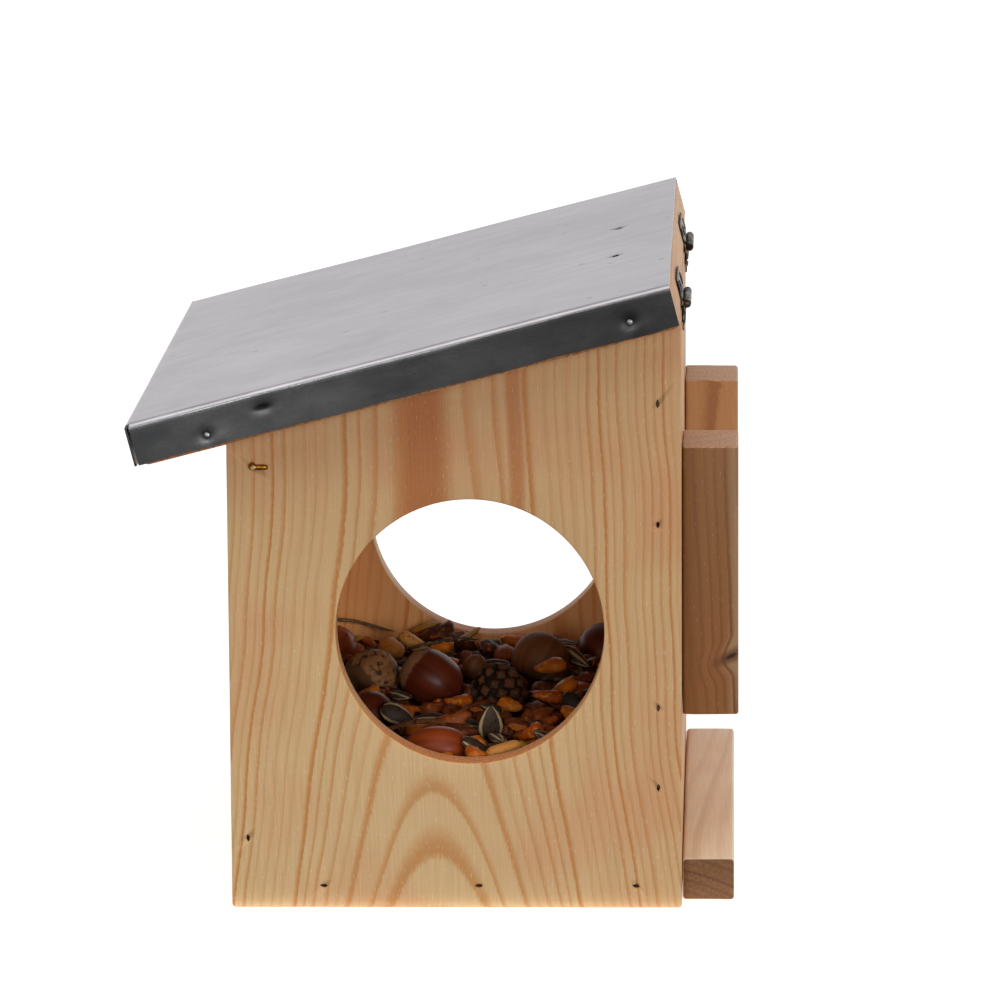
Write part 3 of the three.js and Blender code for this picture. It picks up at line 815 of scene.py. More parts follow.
@dataclass(frozen=True)
class Timber:
    """The grain of one board.

    The rings are those of a log whose middle line runs along the board, some way behind its face,
    and whose girth grows towards the foot. So the ring number at a place is the distance from the
    middle line, plus the taper times the height along the grain, over the width of a ring. Each
    ring starts with a sharp dark edge that fades out, and rings differ in how dark they are.
    """

    name: str
    across: Axis
    along: Axis
    palette: Palette = PINE
    centre: Triple = (0.0, 0.0, 0.0)
    middle_depth: float = 60.0
    ring: float = 2.2
    taper: float = 0.11
    taper_fade: float = 0.0028
    wander: float = 7.0
    hearts: tuple[Triple, ...] = ()
    heart_rise: Pair = (60.0, 118.0)
    heart_colour: Colour | None = None
    knot: Pair | None = None
    knot_ring: Colour = srgb(96, 58, 30)
    knot_core: Colour = srgb(52, 28, 14)
    # painted_inside_way and painted_inside_tint: faces turned that way are tinted warm, painted light and shade
    # of the box's inside.
    painted_inside_way: float = 0.0
    painted_inside_tint: Colour = (1.45, 1.0, 0.66, 1.0)
    # painted_shading: two tints over painted_shading_reach, painted light at the foot's front corner and
    # painted shade at the head's back corner under the lid.
    painted_shading: tuple[Colour, Colour] | None = None
    painted_shading_reach: Pair = (-20.0, 190.0)
    rim: Triple | None = None
    rim_tint: Colour = (1.4, 1.18, 0.85, 1.0)
    shake: float = 2.2
    fray: float = 0.14
    flecks: float = 0.16
    pitch: float = 0.0
    seed: float = 0.0

    def material(self) -> Material:
        """The finish of the board.

        Returns:
            A material.
        """
        graph = Graph(self.name)
        place = graph.millimetres(self.centre, self.pitch)
        axes = graph.split(place)
        through = sum(axis.value for axis in Axis) - self.across.value - self.along.value
        across, along, depth = axes[self.across.value], axes[self.along.value], axes[through]
        drift = graph.noise(graph.combine(self.seed, 0.0, graph.times(along, 0.011)), 1.0, 1.0)
        waves = graph.noise(graph.combine(graph.times(across, 0.035), self.seed, graph.times(along, 0.02)), 1.0)
        moved = graph.swayed(graph.swayed(across, drift, self.wander), waves, self.shake)
        if self.knot is not None:
            moved, knot_core, knot_ring = self._knot(graph, moved, (across, along, depth))
        fleck = graph.noise(graph.combine(moved, depth, along), (3.4, 3.4, 0.42), 1.0)
        fibre = graph.noise(graph.combine(moved, depth, along), (1.5, 1.5, 0.035), 4.0, 0.6)
        late = self._late_wood(graph, moved, along, depth, fleck, fibre)
        patch = graph.noise(place, 0.022)
        colour = graph.mix(graph.rise(patch, 0.42, 0.72), self.palette.early, self.palette.rosy)
        for middle, reach, strength in self.hearts:
            away = graph.line(fleck, reach * 0.3, graph.math("ABSOLUTE", graph.less(moved, middle)))
            inside = graph.fall(away, reach * 0.55, reach * 1.35)
            heart = graph.times(graph.times(inside, graph.rise(along, *self.heart_rise)), strength)
            colour = graph.mix(heart, colour, self.heart_colour or self.palette.late)
        colour = graph.mix(late, colour, self.palette.late)
        light = graph.mix(1.0, self.palette.early, srgb(255, 252, 244), "SCREEN")
        colour = graph.mix(graph.times(graph.rise(fleck, 0.66, 0.78), self.flecks), colour, light)
        colour = graph.shaded(colour, fibre, 0.80, 1.20)
        if self.knot is not None:
            colour = graph.mix(knot_core, graph.mix(knot_ring, colour, self.knot_ring), self.knot_core)
        # Painted light and shade: lighter towards the foot's front corner, darker towards the head's back
        # corner under the lid.
        if self.painted_shading is not None:
            slant = graph.line(across, 0.5, along)
            colour = graph.tinted(colour, graph.mix(graph.rise(slant, *self.painted_shading_reach), *self.painted_shading))
        facing = graph.facing(self.pitch)
        # Painted light and shade: the inside face takes a warm tint for the dim warm light inside the box.
        if self.painted_inside_way:
            inner = graph.rise(graph.times(facing[through], self.painted_inside_way), 0.3, 0.7)
            colour = graph.mix(inner, colour, graph.tinted(colour, self.painted_inside_tint))
        end = graph.rise(graph.math("ABSOLUTE", facing[self.along.value]), 0.5, 0.9)
        colour = graph.mix(graph.times(end, 0.96), colour, self._end_grain(graph, place, late))
        if self.rim is not None:
            colour = self._rim(graph, colour, across, along)
        normal = graph.bump(late, 0.25, 0.10, graph.bump(fibre, 0.35, 0.12))
        roughness = graph.plus(graph.spread(fibre, 0.50, 0.68), graph.times(late, -0.08))
        return graph.finish(colour, roughness, normal, Specular_IOR_Level=0.32)

    def _late_wood(
        self, graph: Graph, moved: Socket, along: Socket, depth: Socket, fleck: Socket, fibre: Socket
    ) -> Socket:
        """The share of dark late wood: each ring's own sharp edge and slow fade, frayed by flecks.

        Args:
            graph: The tree that is being built.
            moved: The place across the grain.
            along: The place along the board.
            depth: The place through the board.
            fleck: Short fine noise.
            fibre: Long fine noise.

        Returns:
            A number from 0 to 1.
        """
        deep = graph.plus(depth, self.middle_depth)
        radius = graph.math("SQRT", graph.plus(graph.times(moved, moved), graph.times(deep, deep)))
        girth = graph.line(along, graph.line(along, -self.taper * self.taper_fade, self.taper), radius)
        uneven = graph.noise(graph.combine(graph.times(girth, 0.11), self.seed, 0.0), 1.0)
        rings = graph.swayed(graph.math("DIVIDE", girth, self.ring), uneven, 1.6)
        rings = graph.swayed(rings, fleck, self.fray)
        share = graph.math("FRACT", rings)
        own = {"W": graph.plus(graph.math("FLOOR", rings), self.seed)}
        darkness = graph.node("TexWhiteNoise", own, noise_dimensions="1D").outputs[0]
        edge = graph.times(graph.rise(share, 0.0, 0.10), graph.fall(share, 0.12, 0.55))
        late = graph.share_of(edge, graph.spread(darkness, 0.18, 1.15))
        return graph.share_of(late, graph.spread(fibre, 0.55, 1.45))

    def _end_grain(self, graph: Graph, place: Socket, late: Socket) -> Socket:
        """The colour of the cut ends: open pores and the darker late wood.

        Args:
            graph: The tree that is being built.
            place: The place on the board.
            late: The share of late wood.

        Returns:
            The colour.
        """
        pores = graph.rise(graph.noise(place, 1.1, 3.0), 0.35, 0.75)
        colour = graph.mix(pores, self.palette.end, graph.tinted(self.palette.end, srgb(204, 186, 172)))
        return graph.mix(late, colour, graph.tinted(self.palette.end, srgb(190, 166, 144)))

    def _rim(self, graph: Graph, colour: Socket, across: Socket, along: Socket) -> Socket:
        """Tints the wall of the round hole, which starts where the distance from the hole's middle
        has come down to its radius.

        Args:
            graph: The tree that is being built.
            colour: The wood's colour.
            across: The place across the board.
            along: The place along the board.

        Returns:
            The colour, tinted on the hole's wall.
        """
        middle_across, middle_along, radius = self.rim
        far = graph.distance(graph.combine(across, along, 0.0), (middle_across, middle_along, 0.0))
        rim = graph.fall(far, radius + 0.02, radius + 0.3)
        return graph.mix(rim, colour, graph.tinted(colour, self.rim_tint))

    def _knot(
        self, graph: Graph, moved: Socket, place: tuple[Socket, Socket, Socket]
    ) -> tuple[Socket, Socket, Socket]:
        """A small knot, which pushes the grain aside and ends a little way under the face.

        Args:
            graph: The tree that is being built.
            moved: The place across the grain.
            place: The place across the board, along it and through it.

        Returns:
            The place across the grain, pushed aside, and the shares of the knot's core and rim.
        """
        across, along, depth = place
        dx, dz = graph.less(across, self.knot[0]), graph.less(along, self.knot[1])
        dz = graph.line(dx, -0.45, dz)
        far = graph.distance(graph.stretched(graph.combine(dx, dz, depth), (0.4, 1.0, 0.45)))
        pushed = graph.line(graph.fall(far, 0.0, 8.0), 3.2, moved)
        return pushed, graph.fall(far, 0.3, 1.2), graph.times(graph.fall(far, 1.0, 3.4), 0.75)


@dataclass(frozen=True)
class Zinc:
    """Dull galvanised sheet: faint streaks along the rolling direction, soft clouds, a fine frost
    and a few dark specks. The steep lips are painted dark over their own mottle, a painted
    reflection of the dark surroundings, and painted shade darkens them towards the back."""

    name: str = "zinc_sheet"
    bright: Colour = srgb(219, 215, 219)
    dull: Colour = srgb(173, 169, 174)
    speck: Colour = srgb(96, 95, 96)
    # lip_light and lip_dark: the lips' mottle, painted dark as a reflection of the dark surroundings;
    # back_shade over back_reach: painted shade towards the back.
    lip_light: Colour = srgb(116, 116, 117)
    lip_dark: Colour = srgb(89, 90, 91)
    back_shade: Colour = srgb(172, 169, 167)
    back_reach: Pair = (-170.0, -15.0)
    # dark_patch and dark_patches: dark patches painted at the dent and round the nails, each a middle and a
    # reach.
    dark_patch: Colour = srgb(40, 38, 38)
    dark_patches: Sequence[tuple[Triple, Triple]] = ()

    def material(self) -> Material:
        """The finish of the folded sheet.

        Returns:
            A material.
        """
        graph = Graph(self.name)
        place = graph.millimetres((0.0, PLAN.half_depth, PLAN.lid_corner_height), PLAN.pitch)
        streak = graph.noise(place, (0.11, 0.012, 0.11), 3.0, 0.55)
        cloud = graph.noise(place, 0.018, 3.0, 0.6)
        frost = graph.noise(place, 1.9, 2.0, 0.7)
        scratch = graph.noise(place, (0.9, 0.03, 0.9), 2.0, 0.6)
        mottle = graph.noise(place, (0.09, 0.045, 0.09), 4.0, 0.65)
        cells = graph.node("TexVoronoi", {"Vector": place, "Scale": 0.055}).outputs["Distance"]
        share = graph.line(streak, 0.25, graph.times(cloud, 0.5))
        share = graph.line(frost, 0.12, graph.line(mottle, 0.4, share))
        colour = graph.mix(graph.rise(share, 0.4, 0.85), self.dull, self.bright)
        colour = graph.mix(graph.times(graph.rise(cells, 0.075, 0.045), 0.55), colour, self.speck)
        # Painted reflection and shade: steep faces, the lips, take the dark mottled lip colour, darkened
        # further towards the back.
        steep = graph.fall(graph.facing(PLAN.pitch)[2], 0.15, 0.55)
        painted_lip_shade = graph.mix(graph.rise(mottle, 0.3, 0.7), self.lip_light, self.lip_dark)
        towards_back = graph.rise(graph.split(place)[1], *self.back_reach)
        painted_lip_shade = graph.mix(towards_back, painted_lip_shade, graph.tinted(painted_lip_shade, self.back_shade))
        colour = graph.mix(steep, colour, painted_lip_shade)
        # Dark patches painted round the dent and the nails.
        for spot, reach in self.dark_patches:
            away = graph.node("VectorMath", {0: place, 1: spot}, operation="SUBTRACT").outputs[0]
            far = graph.distance(graph.stretched(away, tuple(1.0 / length for length in reach)))
            colour = graph.mix(graph.fall(graph.line(frost, 0.3, far), 0.5, 1.3), colour, self.dark_patch)
        roughness = graph.line(mottle, 0.10, graph.line(cloud, 0.10, graph.spread(streak, 0.24, 0.34)))
        roughness = graph.times(roughness, graph.line(steep, -0.3, 1.0))
        normal = graph.bump(frost, 0.12, 0.03, graph.bump(scratch, 0.10, 0.05))
        return graph.finish(colour, roughness, normal, Metallic=0.92)


@dataclass(frozen=True)
class Metal:
    """A small metal fitting: a plated or drawn surface with fine scratches and dirt in patches, and, where a
    spot is given, a painted highlight round it.
    """

    name: str
    clean: Colour
    dirty: Colour
    roughness: float
    dirt: float = 0.5
    # highlight_at, highlight_reach, highlight_colour: a painted highlight, a bright spot of colour round a
    # point in millimetres.
    highlight_at: Triple | None = None
    highlight_reach: float = 1.3
    highlight_colour: Colour = srgb(255, 226, 160)

    def material(self) -> Material:
        """The finish of the fitting.

        Returns:
            A material.
        """
        graph = Graph(self.name)
        place = graph.millimetres()
        grit = graph.noise(place, 4.0)
        share = graph.rise(graph.noise(place, 0.45, 4.0, 0.65), 0.72 - 0.5 * self.dirt, 0.92 - 0.4 * self.dirt)
        colour = graph.mix(share, self.clean, self.dirty)
        # Painted highlight: bright colour round the given point.
        if self.highlight_at is not None:
            away = graph.distance(place, self.highlight_at)
            painted_highlight = graph.fall(away, 0.4 * self.highlight_reach, self.highlight_reach)
            colour = graph.mix(painted_highlight, colour, self.highlight_colour)
        roughness = graph.line(share, 0.28, graph.spread(grit, self.roughness - 0.08, self.roughness + 0.12))
        return graph.finish(colour, roughness, graph.bump(grit, 0.25, 0.03), Metallic=0.95)


ZINC_STEEL = Metal("zinc_steel", srgb(122, 117, 110), srgb(44, 36, 30), 0.30, 0.8)
NAIL_STEEL = Metal("nail_steel", srgb(134, 132, 130), srgb(48, 44, 41), 0.3, 0.6)
DARK_STEEL = Metal("dark_steel", srgb(92, 80, 70), srgb(40, 28, 20), 0.46, 0.8)
BRASS = Metal("brass", srgb(190, 132, 48), srgb(98, 58, 14), 0.32, 0.75)


# The wooden box


@dataclass
class Brads:
    """The flat brads that hold the box together, each in its slit."""

    width: float = 2.1
    thickness: float = 0.9
    length: float = 30.0
    batten_length: float = 25.0
    arris: float = 0.14
    sunk: float = 0.6
    slit_reach: Pair = (1.42, 0.66)
    slit_bluntness: float = 1.5
    slit_roughness: float = 0.16
    slit_rows: tuple[Pair, ...] = ((0.0, -3.0), (0.78, -3.0), (0.9, -0.3), (1.0, 0.0), (1.12, 0.5), (0.0, 0.5))
    back_inset: float = 7.7
    back_from_floor: Pair = (40.9, 68.0)
    back_from_top: Pair = (68.3, 27.9)
    floor_height: float = 7.4
    floor_depths: Triple = (-44.2, 7.5, 59.8)
    front_inset: float = 5.6
    front_height: float = 23.6
    batten_inset: float = 18.0
    batten_lower_x: float = 80.0

    def side_places(self, sign: float) -> list[Array]:
        """Where the brads of one side panel stand.

        Args:
            sign: 1 for the right panel and -1 for the left one.

        Returns:
            One matrix each: four along the back, three along the floor, one at the front.
        """
        heights = self.back_from_floor + tuple(PLAN.back_height - drop for drop in self.back_from_top)
        stands = [(PLAN.half_depth - self.back_inset, height, False) for height in heights]
        stands += [(depth, self.floor_height, True) for depth in self.floor_depths]
        stands += [(self.front_inset - PLAN.half_depth, self.front_height, False)]
        return [
            fastener_matrix((sign * PLAN.half_width, y, z), (sign, 0.0, 0.0), (0, 1, 0) if level else (0, 0, 1))
            for y, z, level in stands
        ]

    def batten_places(self) -> list[Array]:
        """Where the brads of the battens stand: two in each, one matrix each.

        Returns:
            Two for each batten: the upper left, the upper right and the lower one.
        """
        low, high = BATTENS.upper_foot, BATTENS.upper_foot + BATTENS.upper_length
        rear, lower_rear = BATTENS.front + BATTENS.upper_depth, BATTENS.front + BATTENS.lower_depth
        heights = (low + self.batten_inset, high - self.batten_inset)
        places = [(side * BATTENS.upper_x, rear, height) for side in SIDES for height in heights]
        places += [(side * self.batten_lower_x, lower_rear, BATTENS.lower_height / 2.0) for side in SIDES]
        return [fastener_matrix(place, (0, 1, 0), (1, 0, 0)) for place in places]

    def brad(self, length: float) -> Shell:
        """One brad: a thin flat bar with softened edges, its head sunk under the wood's face.

        Args:
            length: Its length.

        Returns:
            A closed surface, with the wood's face at height 0.
        """
        half_width, half_thickness = self.width / 2.0, self.thickness / 2.0
        corners = rectangle(-half_width, half_width, -half_thickness, half_thickness)
        bar = Slab(corners, length, self.arris, 0.6, 0.2).shell()
        return bar.moved(placed((0.0, 0.0, -self.sunk - length)))

    def slit(self, seed: int) -> Shell:
        """The torn slit round one brad: rings whose radius is that of a lozenge with blunt corners,
        roughened by waves, and which narrow towards the bottom.

        Args:
            seed: Start of the random roughness.

        Returns:
            A closed surface that reaches over the wood's face.
        """
        circle = on_circle(round_turn(20))
        power = self.slit_bluntness
        reach = ((np.abs(circle) / self.slit_reach) ** power).sum(axis=1) ** (-1.0 / power)
        reach = reach * (1.0 + self.slit_roughness * ripples(circle, 1.1, seed))
        widths, heights = np.hsplit(np.array(self.slit_rows), 2)
        return grid_shell(spots(widths * reach * circle[:, 0], widths * reach * circle[:, 1], heights))

    def slits(self, places: Sequence[Array], seed: int) -> Shell:
        """The slits at some places, as one cutter."""
        return Shell.joined([self.slit(seed + index).moved(place) for index, place in enumerate(places)])

    def build(self) -> None:
        """Makes the brads of both side panels and of the battens."""
        steel = DARK_STEEL.material()
        sets = (
            ("brads_right", self.length, self.side_places(1.0), numbered("brad_right", 8)),
            ("brads_left", self.length, self.side_places(-1.0), numbered("brad_left", 8)),
            ("brads_battens", self.batten_length, self.batten_places(), numbered("batten_brad", 6)),
        )
        for name, length, places, nodes in sets:
            brad = self.brad(length)
            shell = Shell.joined([brad.moved(place) for place in places])
            place_piece(name, shell, steel, Body.BOX, nodes)


@dataclass
class Battens:
    """The two upright battens and the level one behind the box."""

    upper_depth: float = 18.7
    upper_width: float = 35.0
    upper_length: float = 91.0
    upper_inset: float = 28.0
    upper_below_top: float = 47.0
    lower_depth: float = 17.3
    lower_height: float = 14.2
    arris: float = 0.8
    step: float = 1.5
    wear: float = 0.5

    @property
    def front(self) -> float:
        """Depth at which the battens meet the back panel."""
        return PLAN.half_depth + PLAN.joint_gap

    @property
    def upper_foot(self) -> float:
        """Height of the upright battens' lower ends."""
        return PLAN.back_height - self.upper_below_top - self.upper_length

    @property
    def upper_x(self) -> float:
        """How far the upright battens' middles stand from the box's middle."""
        return PLAN.half_width - self.upper_inset - self.upper_width / 2.0

    def build(self, brads: Brads) -> None:
        """Makes the battens and cuts the brads' slits.

        Args:
            brads: The brads that go through them.
        """
        places = brads.batten_places()
        half, near_face = self.upper_width / 2.0, self.upper_x + self.upper_width / 2.0
        right = Timber(
            "batten_right_pine", Axis.Y, Axis.Z, NEAR_BATTEN_PINE, (near_face, 60.0, self.upper_foot),
            middle_depth=46.0, ring=1.7, taper=0.03, wander=1.6, knot=(31.4, 20.0), hearts=((36.2, 6.0, 0.75),),
            shake=0.7, heart_rise=(-60.0, -50.0), heart_colour=srgb(164, 134, 100), seed=4.0,
        )
        left = Timber(
            "batten_left_pine", Axis.Y, Axis.Z, FAR_BATTEN_PINE, (-near_face, 96.0, 60.0),
            ring=1.9, taper=0.03, wander=2.5, shake=0.9, seed=7.0,
        )
        lower = Timber(
            "batten_lower_pine", Axis.Y, Axis.X, LOW_BATTEN_PINE, (0.0, 57.0, 6.8),
            middle_depth=75.0, ring=2.4, taper=0.02, wander=2.0, shake=0.9, seed=9.0,
        )
        rear = self.front + self.upper_depth
        uprights = (
            ("right", self.upper_x, right, places[2:4], 11),
            ("left", -self.upper_x, left, places[:2], 17),
        )
        for side, x, timber, held, seed in uprights:
            corners = rectangle(x - half, x + half, self.front, rear)
            bar = Slab(corners, self.upper_length, self.arris, self.step, self.wear, seed).shell()
            bar = bar.moved(placed((0.0, 0.0, self.upper_foot)))
            nodes = [f"batten_upper_{side}"]
            piece = place_piece(f"batten_{side}", bar, timber.material(), Body.BOX, nodes)
            carve(piece, brads.slits(held, seed))
        corners = rectangle(self.front, self.front + self.lower_depth, 0.0, self.lower_height)
        bar = Slab(corners, 2.0 * PLAN.half_between, self.arris, self.step, self.wear, 23).shell()
        bar = bar.moved(sideways(-PLAN.half_between))
        piece = place_piece("batten_low", bar, lower.material(), Body.BOX, ["batten_lower"])
        carve(piece, brads.slits(places[4:], 60))


BATTENS = Battens()


@dataclass
class Boards:
    """The two side panels, the front and back panels and the floor."""

    arris: float = 0.75
    step: float = 1.3
    hook_bore: float = 1.05
    bore_reach: Pair = (-17.3, 1.0)
    heart_y: float = -6.3

    def build(self, brads: Brads) -> None:
        """Makes the boards and cuts what goes through the side panels.

        Args:
            brads: The brads of the side panels.
        """
        # The right panel carries painted light at its foot's front corner and painted shade at its head's back
        # corner.
        right = Timber(
            "side_right_pine", Axis.Y, Axis.Z, centre=(PLAN.half_width, self.heart_y, 0.0), wander=4.5,
            hearts=((-5.0, 10.4, 0.88), (26.0, 3.0, 0.65)), shake=1.5, heart_colour=srgb(179, 109, 56),
            painted_shading=((1.12, 1.1, 1.07, 1.0), (0.95, 0.86, 0.8, 1.0)), flecks=0.36,
            rim=(PLAN.hole_y - self.heart_y, PLAN.hole_z, PLAN.hole_radius), seed=2.0,
        )
        # The left panel's inside face takes the painted warm tint of the light and shade inside the box.
        left = Timber(
            "side_left_pine", Axis.Y, Axis.Z, painted_inside_way=1.0, centre=(-PLAN.half_inner, 12.0, 0.0),
            ring=2.9, taper=0.05, hearts=((22.0, 16.0, 0.4),), seed=12.0,
        )
        deep, proud = self.bore_reach
        bore = lathe([(0.0, deep), (self.hook_bore, deep), (self.hook_bore, proud), (0.0, proud)], 20)
        bore = bore.moved(fastener_matrix(HOOK_PLACE, (1, 0, 0), (0, 1, 0)))
        slits = brads.slits(brads.side_places(1.0), 31)
        self._side("right", PLAN.half_inner, right, Shell.joined([slits, bore]), 3)
        self._side("left", -PLAN.half_width, left, brads.slits(brads.side_places(-1.0), 41), 5)
        self._end("front", PLAN.wall - PLAN.half_depth, 21.0, 7)
        self._end("back", PLAN.half_depth, 33.0, 9)
        reach = PLAN.half_depth - PLAN.wall - PLAN.joint_gap
        corners = rectangle(-PLAN.half_between, PLAN.half_between, -reach, reach)
        floor = Slab(corners, PLAN.floor, self.arris, 3.0, seed=13).shell()
        timber = Timber(
            "floor_pine", Axis.Y, Axis.X, centre=(0.0, 10.0, 0.0), middle_depth=50.0,
            ring=3.0, taper=0.04, seed=44.0,
        )
        place_piece("floor_board", floor, timber.material(), Body.BOX, ["floor_panel"])

    def _side(self, side: str, x: float, timber: Timber, cutter: Shell, seed: int) -> None:
        """Makes one side panel.

        Args:
            side: Right or left.
            x: Its face with the lower X.
            timber: Its grain.
            cutter: What is cut out of it.
            seed: Start of the random wear.
        """
        back, front = PLAN.half_depth, -PLAN.half_depth
        corners = ((front, 0.0), (back, 0.0), (back, PLAN.back_height), (front, PLAN.front_height))
        hole = (PLAN.hole_y, PLAN.hole_z, PLAN.hole_radius)
        panel = Slab(corners, PLAN.wall, self.arris, self.step, seed=seed, hole=hole).shell().moved(sideways(x))
        nodes = [f"side_panel_{side}"]
        carve(place_piece(f"side_{side}", panel, timber.material(), Body.BOX, nodes), cutter)

    def _end(self, side: str, last: float, seed: float, wear: int) -> None:
        """Makes the front or back panel, whose top follows the lid.

        Args:
            side: Front or back.
            last: Depth of its back face.
            seed: Start of the random grain.
            wear: Start of the random wear.
        """
        first = last - PLAN.wall
        corners = ((first, 0.0), (last, 0.0), (last, PLAN.height_at(last)), (first, PLAN.height_at(first)))
        board = Slab(corners, 2.0 * PLAN.half_between, self.arris, 2.0, seed=wear).shell()
        name, centre = f"{side}_board", (seed, last, 0.0)
        timber = Timber(
            f"{name}_pine", Axis.X, Axis.Z, WARM_PINE, centre, middle_depth=70.0, taper=0.06, seed=seed
        )
        board = board.moved(sideways(-PLAN.half_between))
        place_piece(name, board, timber.material(), Body.BOX, [f"{side}_panel"])


HOOK_PLACE = (PLAN.half_width, 8.6 - PLAN.half_depth, PLAN.front_height - 9.7)


@dataclass
class Hook:
    """The small brass hook: a bar out of the panel, a collar, a bend and an arm."""

    rod: float = 0.92
    embedded: float = 17.0
    reach: float = 2.6
    bend: float = 1.2
    arm: float = 5.2
    tip: Triple = (0.97, 0.86, 0.55)
    thread_pitch: float = 1.4
    thread_depth: float = 0.25
    thread_end: float = -1.0
    collar: tuple[Pair, ...] = (
        (0.0, 0.3), (1.15, 0.3), (1.3, 0.42), (1.3, 0.72), (1.1, 0.92), (0.92, 1.02), (0.0, 1.02)
    )

    def build(self) -> None:
        """Makes the hook. Its centre line runs straight out, turns a quarter circle and runs on
        along the panel; the bar narrows to a rounded tip."""
        bend_start = self.reach - self.bend
        angle = np.linspace(0.0, QUARTER, 10)[1:]
        path = np.concatenate(
            [
                spots(np.linspace(-self.embedded, bend_start, 24), 0.0, 0.0),
                spots(bend_start + self.bend * np.sin(angle), self.bend * (1.0 - np.cos(angle)), 0.0),
                spots(self.reach, np.linspace(self.bend, self.arm, 12)[1:], 0.0),
            ]
        )
        radius = np.full(len(path), self.rod)
        radius[-len(self.tip) :] *= self.tip
        half_pitch = self.thread_pitch / 2.0
        thread = np.abs((path[:, 0] + self.embedded) % self.thread_pitch - half_pitch) * self.thread_depth
        radius -= np.where(path[:, 0] < self.thread_end, thread, 0.0)
        shell = Shell.joined([tube(path, radius, 28), lathe(self.collar, 36).moved(sideways(0.0))])
        x, y, z = HOOK_PLACE
        # A painted highlight on the outside of the hook's bend.
        look = replace(BRASS, highlight_at=(x + self.reach + self.rod, y + 0.3, z))
        place_piece("hook", shell.moved(placed(HOOK_PLACE)), look.material(), Body.BOX, ["brass_hook"])


# The lid


